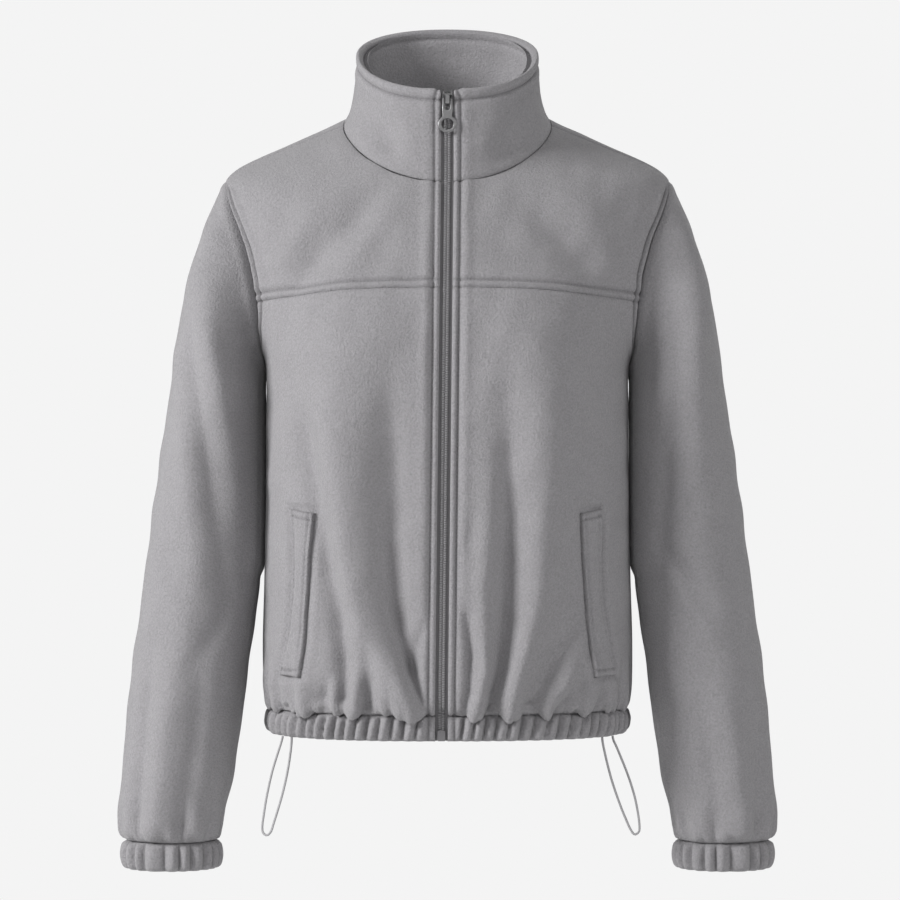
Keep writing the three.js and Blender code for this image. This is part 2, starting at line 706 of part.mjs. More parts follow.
// A point behind the front's face at a distance from the middle of the zip.
function zipPoint(level, x, depth) {
  const reach = -level.surface(level.at, FRONT).y;
  const angle = FRONT + Math.atan(x / reach);
  return level.surface(level.at, angle).addScaledVector(normalOf(level.surface, level.at, angle), -depth);
}

const hemRing = rowAt(TORSO, "at", HEM);
const bandSurface = (down, angle) => ringPoint(hemRing, angle).setZ(-down);
const bandLevel = (z) => ({ surface: bandSurface, at: -z });

function zipTape(side) {
  const line = [...zipLine(), { ...bandLevel(BOX.top + SEAM_GAP), wide: false }];
  return line.map((level) => {
    const outerEdge = level.wide ? TAPE.outer : TAPE.narrow;
    return [TAPE.inner, (TAPE.inner + outerEdge) / 2, outerEdge].map((x) => ({
      outer: zipPoint(level, side * x, FLEECE + TAPE.clear),
      inner: zipPoint(level, side * x, FLEECE + TAPE.clear + TAPE.thick),
    }));
  });
}

function zipChain() {
  const { half, depth, thick, bevel } = CHAIN;
  const section = [
    [-half, depth + bevel],
    [-half + bevel, depth],
    [half - bevel, depth],
    [half, depth + bevel],
    [half, depth + thick - bevel],
    [half - bevel, depth + thick],
    [-half + bevel, depth + thick],
    [-half, depth + thick - bevel],
  ];
  const top = { surface: collarBase, at: rowAt(COLLAR, "zFront", SLIDER.bottom - SEAM_GAP).at };
  const below = zipLine().filter((level) => level.surface === torsoBase || level.at > top.at + 2);
  const line = [top, ...below, bandLevel(BOX.top + SEAM_GAP)];
  return loft(line.map((level) => section.map(([x, deep]) => zipPoint(level, x, deep))));
}

function moved(geometry, x, y, z) {
  geometry.translate(x, y, z);
  return geometry;
}

function asSolid(geometry) {
  const bare = geometry.index ? geometry.toNonIndexed() : geometry.clone();
  for (const name of Object.keys(bare.attributes)) if (name !== "position") bare.deleteAttribute(name);
  const merged = mergeVertices(bare, 1e-4);
  const mesh = new wasm.Mesh({
    numProp: 3,
    vertProperties: merged.attributes.position.array,
    triVerts: new Uint32Array(merged.index.array),
  });
  return new wasm.Manifold(mesh);
}

// Joins overlapping shapes into one solid.
function joined(...geometries) {
  const whole = geometries.map(asSolid).reduce((a, b) => a.add(b));
  const mesh = whole.getMesh();
  const geometry = new THREE.BufferGeometry();
  geometry.setAttribute("position", new THREE.BufferAttribute(new Float32Array(mesh.vertProperties), 3));
  geometry.setIndex(new THREE.BufferAttribute(new Uint32Array(mesh.triVerts), 1));
  geometry.computeVertexNormals();
  return geometry;
}

// A flat shape drawn as seen from the front (x, z) and made thick towards the back from a y.
function frontPlate(shape, y, thick, segments = 6) {
  const geometry = new THREE.ExtrudeGeometry(shape, { depth: thick, bevelEnabled: false, curveSegments: segments });
  geometry.rotateX(Math.PI / 2);
  return moved(geometry, 0, y + thick, 0);
}

function shieldShape() {
  const { half, top, bottom } = SLIDER;
  const shape = new THREE.Shape();
  shape.moveTo(-half + 1.2, bottom);
  shape.lineTo(half - 1.2, bottom);
  shape.lineTo(half, top - 3.5);
  shape.lineTo(half - 0.8, top);
  shape.lineTo(-half + 0.8, top);
  shape.lineTo(-half, top - 3.5);
  shape.closePath();
  return shape;
}

// The slider: two plates on a post, with an arch on the face that holds the pull.
function slider() {
  const { face, plate, inside, post, arch } = SLIDER;
  const front = frontPlate(shieldShape(), face, plate);
  const back = frontPlate(shieldShape(), face + plate + inside, plate);
  const postHeight = post.top - post.bottom;
  const middle = new THREE.BoxGeometry(2 * post.half, inside + plate, postHeight);
  moved(middle, 0, face + plate + inside / 2, (post.top + post.bottom) / 2);
  const side = new THREE.Shape();
  const [low, high] = [arch.bottom, arch.top];
  side.moveTo(0.5, low);
  side.lineTo(0.5, low + arch.thick);
  side.lineTo(-arch.rise + arch.thick, low + arch.thick + 1);
  side.lineTo(-arch.rise + arch.thick, high - arch.thick - 1);
  side.lineTo(0.5, high - arch.thick);
  side.lineTo(0.5, high);
  side.lineTo(-arch.rise + 0.8, high - 0.6);
  side.lineTo(-arch.rise, high - 1.8);
  side.lineTo(-arch.rise, low + 1.8);
  side.lineTo(-arch.rise + 0.8, low + 0.6);
  side.closePath();
  const bridge = new THREE.ExtrudeGeometry(side, { depth: 2 * arch.half, bevelEnabled: false });
  bridge.applyMatrix4(new THREE.Matrix4().set(0, 0, 1, -arch.half, 1, 0, 0, face, 0, 1, 0, 0, 0, 0, 0, 1));
  return joined(front, back, middle, bridge);
}

// The pull: a fork held by a bar in the slider's arch, a neck and a finger ring. Its own origin is the bar.
function pull() {
  const { bar: top, thick, leg, slot, neck, ring } = PULL;
  const slotEnd = PULL.slotEnd - PULL.pivot;
  const neckLow = PULL.neckLow - PULL.pivot;
  const middle = ring.middle - PULL.pivot;
  const outline = new THREE.Shape();
  outline.moveTo(-leg, top);
  outline.lineTo(-leg, slotEnd - 1);
  outline.lineTo(-neck, neckLow + 2);
  outline.absellipse(0, middle, ring.outer, ring.outerHigh, Math.PI * 0.68, Math.PI * 2.32, false, 0);
  outline.lineTo(neck, neckLow + 2);
  outline.lineTo(leg, slotEnd - 1);
  outline.lineTo(leg, top);
  outline.lineTo(slot, top);
  outline.lineTo(slot, slotEnd + 1.5);
  outline.lineTo(slot - 1.2, slotEnd);
  outline.lineTo(-slot + 1.2, slotEnd);
  outline.lineTo(-slot, slotEnd + 1.5);
  outline.lineTo(-slot, top);
  outline.closePath();
  const hole = new THREE.Path();
  hole.absellipse(0, middle, ring.inner, ring.innerHigh, 0, 2 * Math.PI, true, 0);
  outline.holes.push(hole);
  const plate = frontPlate(outline, -thick / 2, thick, 10);
  const rod = new THREE.CylinderGeometry(top, top, 2 * leg - 1, 10).rotateZ(Math.PI / 2);
  return joined(plate, rod);
}

function boxShape() {
  const { half, top, bottom } = BOX;
  const shape = new THREE.Shape();
  const cut = 1;
  shape.moveTo(-half + cut, bottom);
  shape.lineTo(half - cut, bottom);
  shape.lineTo(half, bottom + cut);
  shape.lineTo(half, top);
  shape.lineTo(-half, top);
  shape.lineTo(-half, bottom + cut);
  shape.closePath();
  return shape;
}

// A round cord along a route chosen by hand.
function cord(route) {
  const path = new THREE.CatmullRomCurve3(route.map((p) => new THREE.Vector3(p.x, p.y, p.z)));
  const circle = new THREE.Shape();
  for (let k = 0; k < CORD.sides; k++) {
    const turn = (2 * Math.PI * k) / CORD.sides;
    const [x, y] = [CORD.radius * Math.cos(turn), CORD.radius * Math.sin(turn)];
    if (k === 0) circle.moveTo(x, y);
    else circle.lineTo(x, y);
  }
  circle.closePath();
  return new THREE.ExtrudeGeometry(circle, { steps: CORD.steps, bevelEnabled: false, extrudePath: path });
}

const fleece = new THREE.MeshStandardMaterial({ color: 0x97959a, roughness: 0.95, metalness: 0 });
const coil = new THREE.MeshStandardMaterial({ color: 0x6f6d70, roughness: 0.5, metalness: 0 });
const tape = new THREE.MeshStandardMaterial({ color: 0x5e5c5f, roughness: 0.85, metalness: 0 });
const metal = new THREE.MeshStandardMaterial({ color: 0x9c9b9d, roughness: 0.4, metalness: 0.6 });
const elastic = new THREE.MeshStandardMaterial({ color: 0xa09fa1, roughness: 0.7, metalness: 0 });

const jacket = new THREE.Group();

function add(name, geometry, material, parent = jacket) {
  const mesh = new THREE.Mesh(geometry, material);
  mesh.name = name;
  parent.add(mesh);
  return mesh;
}

const YOKE_COLUMNS = 11;
const FRONT_COLUMNS = 22;
const BACK_COLUMNS = 30;

for (const [name, side] of [
  ["right", -1],
  ["left", 1],
]) {
  const front = frontPanel(frontLevels, FRONT_COLUMNS, side);
  add("front_" + name, wall(front), fleece);
  add("yoke_front_" + name, wall(frontPanel(yokeLevels, YOKE_COLUMNS, side)), fleece);
  add("pocket_welt_" + name, wall(welt(front, side)), fleece);
  add("sleeve_" + name, wall(sleeve(side), true), fleece);
  add("cuff_" + name, wall(cuff(side), true), fleece);
  add("zip_tape_" + name, wall(zipTape(side)), tape);
}
add("back", wall(backPanel(backLevels, BACK_COLUMNS)), fleece);
add("collar", wall(collar()), fleece);
add("hem_band", wall(hemBand()), fleece);
add("zip_chain", zipChain(), coil);
add("zip_box", frontPlate(boxShape(), SEAM_GAP - hemRing.front, BOX.thick), metal);
add("zip_slider", slider(), metal);
const pullHanger = new THREE.Group();
pullHanger.position.set(0, PULL.y, PULL.pivot);
jacket.add(pullHanger);
add("zip_pull", pull(), metal, pullHanger);
add("hem_cord_right", cord(CORD_RIGHT), elastic);
add("hem_cord_left", cord(CORD_LEFT), elastic);

export default jacket;
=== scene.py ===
"""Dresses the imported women's cropped fleece jacket: cloth, seams, stitching, coil zip and elastic cords.

Shapes are worked out in millimetres, +Z up, with the front towards -Y, and become metres in the meshes.
"Right" and "left" are the wearer's.
"""

import logging
import math
from dataclasses import dataclass, field
from enum import Enum
from typing import Callable

import bpy
import numpy as np
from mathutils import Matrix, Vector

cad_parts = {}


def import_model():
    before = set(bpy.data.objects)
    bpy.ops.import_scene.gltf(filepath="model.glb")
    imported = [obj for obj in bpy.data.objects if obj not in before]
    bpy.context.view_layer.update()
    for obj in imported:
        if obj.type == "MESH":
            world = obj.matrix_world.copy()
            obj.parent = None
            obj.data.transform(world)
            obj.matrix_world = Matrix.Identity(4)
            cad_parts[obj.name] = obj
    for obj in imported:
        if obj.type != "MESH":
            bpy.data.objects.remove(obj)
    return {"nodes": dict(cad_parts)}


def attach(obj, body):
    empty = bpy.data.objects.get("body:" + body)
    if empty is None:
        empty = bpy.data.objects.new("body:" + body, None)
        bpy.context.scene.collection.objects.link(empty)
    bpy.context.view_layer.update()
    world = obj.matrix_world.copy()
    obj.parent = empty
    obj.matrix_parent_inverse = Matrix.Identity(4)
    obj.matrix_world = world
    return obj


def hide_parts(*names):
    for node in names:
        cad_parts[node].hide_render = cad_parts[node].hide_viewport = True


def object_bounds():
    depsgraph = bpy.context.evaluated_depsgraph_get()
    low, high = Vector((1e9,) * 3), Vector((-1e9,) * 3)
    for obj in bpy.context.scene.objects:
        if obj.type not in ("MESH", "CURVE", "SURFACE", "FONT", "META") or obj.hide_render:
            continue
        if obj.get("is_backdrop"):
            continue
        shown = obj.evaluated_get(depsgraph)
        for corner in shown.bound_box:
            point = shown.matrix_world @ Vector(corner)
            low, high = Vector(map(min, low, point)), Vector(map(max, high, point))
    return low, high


logging.basicConfig(level=logging.INFO, format="%(message)s")
log = logging.getLogger("jacket")

Array = np.ndarray
Row = dict[str, Array]
Surface = Callable[[Array, Array], Array]
Colour = tuple[float, float, float]
Place = tuple[float, float, float]
Knot = tuple[float, float, float, float]
Bells = tuple[tuple[float, float, float], ...]
Crowding = tuple[float, float]
Line = tuple[Array, Array]
Outline = list[tuple[float, float]]

# Sizes and heights are in millimetres, MM is one of them in metres, and FRONT is the angle of the front's
# middle. AT_SEAM and AT_RIM are a grid's finest pitch there and the width over which it crowds.
MM = 0.001
FRONT = -math.pi / 2
SEAM_GAP = 0.06
FLEECE = 2.2
ZIP_EDGE = 5.5
PLACKET = 12.0
ZIP_STITCH = 5.6
ZIP_LEAN, ZIP_LEAN_HEIGHT = 5.2, 470.0
NECKLINE = -57.0
HEM_SEAM, HEM_EDGE = -522.5, -544.5
CUFF_SEAM, CUFF_EDGE = -640.0, -664.6
BICEP = -248.0
AT_SEAM: Crowding = (0.4, 1.6)
AT_RIM: Crowding = (0.4, 2.4)


class Edge(Enum):
    """The four edges of a cloth grid, whose rows run down and whose columns run across."""

    TOP = "top"
    BOTTOM = "bottom"
    START = "start"
    END = "end"


class Side(Enum):
    """The wearer's sides, with the sign of X."""

    RIGHT = -1
    LEFT = 1

    @property
    def label(self) -> str:
        """The side's name in the part's node names."""
        return self.name.lower()


class Body(Enum):
    """The two bodies of the part."""

    JACKET = "jacket"
    PULL = "pull_tab"


# Numbers and surfaces


def rising(low: float, high: float, value: Array) -> Array:
    """An S-shaped step from 0 at low to 1 at high, which falls where low is the larger."""
    t = np.clip((value - low) / (high - low), 0, 1)
    return t * t * (3 - 2 * t)


def unit(vectors: Array) -> Array:
    """The vectors, each made 1 long."""
    return vectors / np.linalg.norm(vectors, axis=-1, keepdims=True)


def bell(value: Array, middle: float, width: float) -> Array:
    """A bell curve: exp(-((value - middle) / width) squared)."""
    return np.exp(-(((value - middle) / width) ** 2))


def bells(value: Array, rows: Bells) -> Array:
    """The sum of bell curves, each given by its height, its middle and its width."""
    return sum(height * bell(value, middle, width) for height, middle, width in rows)


def running_length(points: Array) -> Array:
    """The length along a line of points (n, 3) up to each of them: the running sum of the steps' lengths."""
    return np.concatenate([[0], np.cumsum(np.linalg.norm(np.diff(points, axis=0), axis=-1))])


def spaced(start: float, stop: float, pitch: float, marks: dict[float, Crowding]) -> Array:
    """Numbers from start to stop that crowd round some places.

    Their density is 1 / pitch plus, for each mark, (1 / fine) exp(-(distance / width)^2); the numbers stand
    where the running sum of that density passes whole steps.

    Args:
        start: The first number.
        stop: The last number.
        pitch: The distance between numbers far from any mark.
        marks: Place to (fine pitch, width).

    Returns:
        The numbers, start and stop included.
    """
    fine = np.linspace(start, stop, 6000)
    density = np.full_like(fine, 1 / pitch)
    for place, (near, width) in marks.items():
        density += bell(fine, place, width) / near
    total = np.concatenate([[0], np.cumsum((density[1:] + density[:-1]) / 2 * np.abs(np.diff(fine)))])
    return np.interp(np.linspace(0, total[-1], int(math.ceil(total[-1])) + 1), total, fine)


class Table:
    """Rows of numbers under short names, with a smooth cubic run through each column."""

    def __init__(self, names: str, rows: list[tuple[float, ...]]) -> None:
        """Stores each column under its name."""
        self.columns = dict(zip(names.split(), np.array(rows, float).T))

    def read(self, key: str, values: Array) -> Row:
        """Reads all columns where one of them has given values.

        Between rows k and k + 1 each column is the cubic with its own numbers there, and with slopes
        (number at k + 1 - number at k - 1) / (key at k + 1 - key at k - 1) at row k, one-sided at the ends.

        Args:
            key: The column that is given, which rises or falls all the way.
            values: Its values.

        Returns:
            Each column's name with its numbers, in the shape of values.
        """
        x = self.columns[key]
        way = np.sign(x[1] - x[0])
        values = np.asarray(values, float)
        i = np.clip(np.searchsorted(way * x, way * values) - 1, 0, len(x) - 2)
        before = np.maximum(np.arange(len(x)) - 1, 0)
        after = np.minimum(np.arange(len(x)) + 1, len(x) - 1)
        span = x[i + 1] - x[i]
        t = (values - x[i]) / span
        found = {}
        for name, y in self.columns.items():
            slope = (y[after] - y[before]) / (x[after] - x[before])
            p, q, m, n = y[i], y[i + 1], slope[i] * span, slope[i + 1] * span
            found[name] = (((2 * (p - q) + m + n) * t + 3 * (q - p) - 2 * m - n) * t + m) * t + p
        return found


def straight(*rows: tuple[float, ...]) -> tuple[tuple[Knot, ...], ...]:
    """Folds along straight lines (a0, z0, a1, z1, width, height), which grow over their first half."""
    return tuple(
        ((a0, z0, w, 0.15 * h), ((a0 + a1) / 2, (z0 + z1) / 2, w, 0.95 * h), (a1, z1, w, h))
        for a0, z0, a1, z1, w, h in rows
    )


@dataclass(frozen=True, eq=False)
class Folds:
    """Soft ridges (height above 0) and troughs (below 0), each along a bent line in a flat view.

    A row is a fold's knots (a, z, width, height): places along its line, with the bell's width and height
    there.
    """

    rows: tuple[tuple[Knot, ...], ...]

    def lift(self, a: Array, z: Array) -> Array:
        """How far the folds move the cloth out.

        Each adds height * exp(-(distance to its line / width)^1.8), with the width and height read in
        proportion between the knots of the piece of line that is nearest in widths.

        Args:
            a: The place across, in the units of the knots.
            z: The height.

        Returns:
            The lift in mm, in the shape of a and z.
        """
        total = np.zeros(np.broadcast(a, z).shape)
        for knots in self.rows:
            nearest, height = np.full(total.shape, np.inf), np.zeros(total.shape)
            for (a0, z0, w0, h0), (a1, z1, w1, h1) in zip(knots, knots[1:]):
                run, drop = a1 - a0, z1 - z0
                t = np.clip(((a - a0) * run + (z - z0) * drop) / (run * run + drop * drop), 0, 1)
                away = np.hypot(a - a0 - t * run, z - z0 - t * drop) / (w0 + (w1 - w0) * t)
                height = np.where(away < nearest, h0 + (h1 - h0) * t, height)
                nearest = np.minimum(away, nearest)
            total += height * np.exp(-(nearest**1.8))
        return total


def zip_line(z: Array) -> Array:
    """Where the zip's middle runs: straight down the collar, then 5.2 mm to the wearer's right by the hem."""
    return -ZIP_LEAN * np.clip((NECKLINE - z) / ZIP_LEAN_HEIGHT, 0, 1)


def drawn_over(points: Array) -> Array:
    """The front's points moved sideways with the zip: fully within 20 mm of it, and not beyond 140 mm."""
    x, y, z = points[..., 0], points[..., 1], points[..., 2]
    moved = points.copy()
    moved[..., 0] += np.where(y < 0, zip_line(z) * rising(140, 20, np.abs(x)), 0)
    return moved


def uneven(count: int, angle: Array) -> Array:
    """A wave for gathers whose neighbours differ in width: cos(count a + 1.3 sin(3a + 0.7) + 0.8 sin 7a)."""
    return np.cos(count * angle + 1.3 * np.sin(3 * angle + 0.7) + 0.8 * np.sin(7 * angle))


def pinched(wave: Array) -> Array:
    """A wave from -1 to 1 given round ridges and narrow valleys: 2 ((1 + wave) / 2)^0.5 - 1."""
    return 2 * np.sqrt((1 + wave) / 2) - 1


def gather_fade(above: Array, length: float) -> Array:
    """How far gathers stand out above their seam: they fade over length and are drawn in at the seam."""
    return rising(length, 12, above) * (0.35 + 0.65 * rising(0, 10, above))


def roll(distance: Array, radius: float, depth: float) -> Array:
    """How deep a rounded edge lies: a quarter ellipse, depth (1 - sqrt(1 - (1 - distance / radius)^2))."""
    inward = 1 - np.clip(distance / radius, 0, 1)
    return depth * (1 - np.sqrt(1 - inward * inward))


def seam_roll(distance: Array, radius: float, depth: float) -> Array:
    """How deep an edge that is sewn to another lies below the face: depth (1 - distance / radius) squared."""
    return depth * (1 - np.clip(distance / radius, 0, 1)) ** 2


def topstitch(distance: Array, line: float) -> Array:
    """The height beside a seam sewn down at a line: a raised strip, a groove and a soft rise beyond."""
    strip, groove, rise = (1.9, line / 2, line / 2.6), (-3.0, line, 2.0), (1.8, line + 6, 5)
    return bells(distance, (strip, groove, rise))


def ring_point(row: Row, angle: Array) -> Array:
    """A point of a rounded oval ring, seen from above at an angle.

    With depth = front where sin a < 0 and else back, its radius r is
    (|cos a / half|^square + |sin a / depth|^square)^(-1 / square). Its height is the parabola over y through
    z_front at y = -front, z_side at y = 0 and z_back at y = back.

    Args:
        row: The ring's columns half, front, back, z_side, z_front, z_back and square.
        angle: The angle from +X towards the back, in radians.

    Returns:
        Points (..., 3).
    """
    c, s = np.cos(angle), np.sin(angle)
    depth = np.where(s < 0, row["front"], row["back"])
    total = np.abs(c / row["half"]) ** row["square"] + np.abs(s / depth) ** row["square"]
    radius = total ** (-1 / row["square"])
    y = radius * s
    to_front = (row["z_front"] - row["z_side"]) / row["front"]
    to_back = (row["z_back"] - row["z_side"]) / row["back"]
    bend = (to_front + to_back) / (row["front"] + row["back"])
    slope = to_back - bend * row["back"]
    return np.stack(np.broadcast_arrays(radius * c, y, row["z_side"] + (slope + bend * y) * y), axis=-1)


def surface_normal(surface: Surface, down: Array, angle: Array) -> Array:
    """The outward normal: the step down the surface crossed with the step round it, made 1 long."""
    along = surface(down + 0.5, angle) - surface(down - 0.5, angle)
    around = surface(down, angle + 0.004) - surface(down, angle - 0.004)
    return unit(np.cross(along, around))


@dataclass(frozen=True)
class Undulation:
    """The slight unevenness of cloth: a sum of waves with random directions, lengths and phases."""

    height: float
    shortest: float
    longest: float
    seed: int
    waves: int = 22

    def at(self, points: Array) -> Array:
        """The lift at points: height * sqrt(2 / waves) * the sum of cos(k . p + phase), seeded."""
        rng = np.random.default_rng(self.seed)
        ways = unit(rng.normal(size=(self.waves, 3)))
        ways *= 2 * np.pi / rng.uniform(self.shortest, self.longest, (self.waves, 1))
        phases = rng.uniform(0, 2 * np.pi, self.waves)
        return self.height * math.sqrt(2 / self.waves) * np.cos(points @ ways.T + phases).sum(axis=-1)


# Meshes


def linked(name: str, data: bpy.types.ID) -> bpy.types.Object:
    """Makes an object of some data and links it to the scene."""
    made = bpy.data.objects.new(name, data)
    bpy.context.scene.collection.objects.link(made)
    return made


def new_mesh(name: str, points: Array, quads: Array) -> bpy.types.Object:
    """Makes a smooth mesh object at the origin.

    Args:
        name: The object's name.
        points: Vertices (n, 3) in millimetres.
        quads: Vertex numbers (m, 4), or (m, 3) for triangles.

    Returns:
        The object, linked to the scene, with its faces outwards if it is closed.
    """
    a, b, c = (points[quads[:, k]] for k in range(3))
    if np.einsum("ij,ij->", a, np.cross(b, c)) < 0:
        quads = quads[:, ::-1]
    mesh = bpy.data.meshes.new(name)
    mesh.vertices.add(len(points))
    mesh.vertices.foreach_set("co", (points * MM).astype(np.float32).ravel())
    mesh.loops.add(quads.size)
    mesh.polygons.add(len(quads))
    mesh.polygons.foreach_set("loop_start", np.arange(0, quads.size, quads.shape[1], dtype=np.int32))
    mesh.polygons.foreach_set("vertices", quads.astype(np.int32).ravel())
    mesh.polygons.foreach_set("use_smooth", np.ones(len(quads), bool))
    mesh.update(calc_edges=True)
    mesh.validate()
    return linked(name, mesh)


def poly_curve(name: str, lines: list[Array], radius: float, closed: bool) -> bpy.types.Object:
    """Makes a curve object whose points are joined by straight pieces.

    Args:
        name: The object's name.
        lines: Each line's points (n, 3) in millimetres.
        radius: The radius of its bevel in millimetres.
        closed: Whether the lines are closed outlines in the XY plane, rather than open ones in space.

    Returns:
        The object, linked to the scene.
    """
    curve = bpy.data.curves.new(name, "CURVE")
    curve.dimensions = "2D" if closed else "3D"
    curve.bevel_depth = radius * MM
    curve.bevel_resolution = 3
    for line in lines:
        spline = curve.splines.new("POLY")
        spline.points.add(len(line) - 1)
        spline.points.foreach_set("co", np.c_[line * MM, np.ones(len(line))].astype(np.float32).ravel())
        spline.use_cyclic_u = closed
    return linked(name, curve)


def cells(grid: Array) -> Array:
    """The quads between the vertex numbers of a grid (rows, columns)."""
    return np.stack([grid[:-1, :-1], grid[1:, :-1], grid[1:, 1:], grid[:-1, 1:]], axis=-1).reshape(-1, 4)


def wall_quads(rows: int, columns: int, closed: bool) -> Array:
    """Quads of a wall: an outer grid, an inner one numbered after it, and strips round its open edges."""
    ids = np.arange(rows * columns).reshape(rows, columns)
    if closed:
        ids = np.hstack([ids, ids[:, :1]])
    inside = ids + rows * columns

    def strip(near: Array, far: Array) -> Array:
        """The quads between two lines of vertices."""
        return np.stack([near[:-1], near[1:], far[1:], far[:-1]], axis=-1)

    quads = [cells(ids), cells(inside)[:, ::-1], strip(ids[0], inside[0]), strip(inside[-1], ids[-1])]
    if not closed:
        quads += [strip(inside[:, 0], ids[:, 0]), strip(ids[:, -1], inside[:, -1])]
    return np.concatenate(quads)


@dataclass(eq=False)
class Cloth:
    """One cut piece of cloth as a grid of places on its outer face.

    Attributes:
        name: The CAD node that it stands for.
        face: Places (rows, columns, 3), rows down and columns across.
        normal: The outward direction at each place.
        thick: The wall's thickness.
        closed: Whether the last column joins the first.
        lift: How far out of the face the outer side lies.
        sink: How far out of the face the inner side lies, apart from the thickness.
        pressed: How much painted shade darkens the outer side along seams, stitch grooves and gather valleys,
            0 to 1.
    """

    name: str
    face: Array
    normal: Array
    thick: Array | float = FLEECE
    closed: bool = False
    lift: Array = field(init=False)
    sink: Array = field(init=False)
    pressed: Array = field(init=False)

    def __post_init__(self) -> None:
        """Starts with a plain wall."""
        self.lift = np.zeros(self.face.shape[:2])
        self.sink = np.zeros(self.face.shape[:2])
        self.pressed = np.zeros(self.face.shape[:2])

    def distance(self, edge: Edge) -> Array:
        """The way over the cloth from an edge to each place, summed along the grid's own lines."""
        axis = 0 if edge in (Edge.TOP, Edge.BOTTOM) else 1
        steps = np.linalg.norm(np.diff(self.face, axis=axis), axis=-1)
        first = np.zeros_like(np.take(steps, [0], axis=axis))
        way = np.concatenate([first, np.cumsum(steps, axis=axis)], axis=axis)
        if edge in (Edge.TOP, Edge.START):
            return way
        return np.take(way, [-1], axis=axis) - way

    def press(self, amount: Array) -> None:
        """Moves both sides of the wall out by an amount."""
        self.lift += amount
        self.sink += amount

    def round_edge(self, edge: Edge, radius: float, depth: float = 1.9, inside: float = 0.2) -> None:
        """Rounds an edge over from the outer side by a depth, and from the inner side by another."""
        self.lift -= roll(self.distance(edge), radius, depth)
        self.sink += roll(self.distance(edge), radius, inside)

    def seam_edge(self, edge: Edge, radius: float = 4.5, depth: float = 1.7) -> None:
        """Lets an edge dip into a soft furrow towards the piece that it is sewn to, with painted shade along
        the edge.
        """
        self.lift -= seam_roll(self.distance(edge), radius, depth)
        self.mark(self.distance(edge), 0, 1.3, 0.15)

    def mark(self, distance: Array, line: float, width: float = 1.1, weight: Array | float = 1.0) -> None:
        """Paints shade along a line at a distance: the colour there is darkened as painted shade."""
        self.pressed = np.clip(self.pressed + weight * bell(distance, line, width), 0, 1)

    def outer(self) -> Array:
        """The outer side's places."""
        return self.face + self.normal * self.lift[..., None]

    def inner(self) -> Array:
        """The inner side's places: a thickness below the face."""
        return self.face + self.normal * (self.sink - self.thick)[..., None]

    def line(self, edge: Edge, distance: float, inside: bool = False) -> Line:
        """The line over the cloth at a distance from an edge.

        On each grid line that leaves the edge, the place is read between the two vertices that lie before
        and after the distance, in proportion.

        Args:
            edge: The edge.
            distance: The distance over the cloth in mm.
            inside: Whether the line is on the inner side.

        Returns:
            Points and outward normals along the line.
        """
        way = self.distance(edge)
        points, normals = (self.inner(), -self.normal) if inside else (self.outer(), self.normal)
        if edge in (Edge.TOP, Edge.BOTTOM):
            way, points, normals = way.T, points.swapaxes(0, 1), normals.swapaxes(0, 1)
        if edge in (Edge.BOTTOM, Edge.END):
            way, points, normals = way[:, ::-1], points[:, ::-1], normals[:, ::-1]
        rows = np.arange(len(way))
        i = np.clip((way < distance).sum(axis=1) - 1, 0, way.shape[1] - 2)
        t = ((distance - way[rows, i]) / (way[rows, i + 1] - way[rows, i]))[:, None]
        mixed = (grid[rows, i] * (1 - t) + grid[rows, i + 1] * t for grid in (points, normals))
        return tuple(mixed)

    def build(self) -> bpy.types.Object:
        """Makes the mesh object."""
        rows, columns = self.face.shape[:2]
        points = np.concatenate([self.outer().reshape(-1, 3), self.inner().reshape(-1, 3)])
        made = new_mesh(f"{self.name}_cloth", points, wall_quads(rows, columns, self.closed))
        # The painted shade goes to the material as a vertex attribute; the inner side gets none.
        pressed = made.data.attributes.new("pressed", "FLOAT", "POINT")
        values = np.concatenate([self.pressed.ravel(), np.zeros(self.pressed.size)])
        pressed.data.foreach_set("value", values.astype(np.float32))
        return made


def grid_normals(points: Array, closed: bool) -> Array:
    """Normals of a grid: the difference down it crossed with the difference across it."""
    if closed:
        wide = np.concatenate([points[:, -1:], points, points[:, :1]], axis=1)
        across = wide[:, 2:] - wide[:, :-2]
    else:
        across = np.gradient(points, axis=1)
    return unit(np.cross(np.gradient(points, axis=0), across))


@dataclass(eq=False)
class Copies:
    """Many copies of one small tube in one mesh.

    Attributes:
        rings: The rings of vertices along each tube.
        sides: The vertices of each ring.
        points: The copies' vertices, an array for each time that copies were added.
    """

    rings: int
    sides: int
    points: list[Array] = field(default_factory=list)

    def add(self, local: Array, centres: Array, axes: Array) -> None:
        """Adds a copy at each centre: the centre plus the tube's coordinates along the copy's three axes.

        Args:
            local: The tube's vertices (rings * sides, 3).
            centres: Places (n, 3).
            axes: The axes of each copy (n, 3, 3).
        """
        made = centres[:, None] + np.einsum("vk,nkd->nvd", local, axes)
        self.points.append(made.reshape(-1, 3))

    def build(self, name: str) -> bpy.types.Object:
        """Makes one mesh object of all copies."""
        points = np.concatenate(self.points)
        ids = np.arange(self.rings * self.sides).reshape(self.rings, self.sides)
        tube = cells(np.hstack([ids, ids[:, :1]]))
        starts = np.arange(0, len(points), ids.size)
        return new_mesh(name, points, (tube[None] + starts[:, None, None]).reshape(-1, 4))


# Finishes


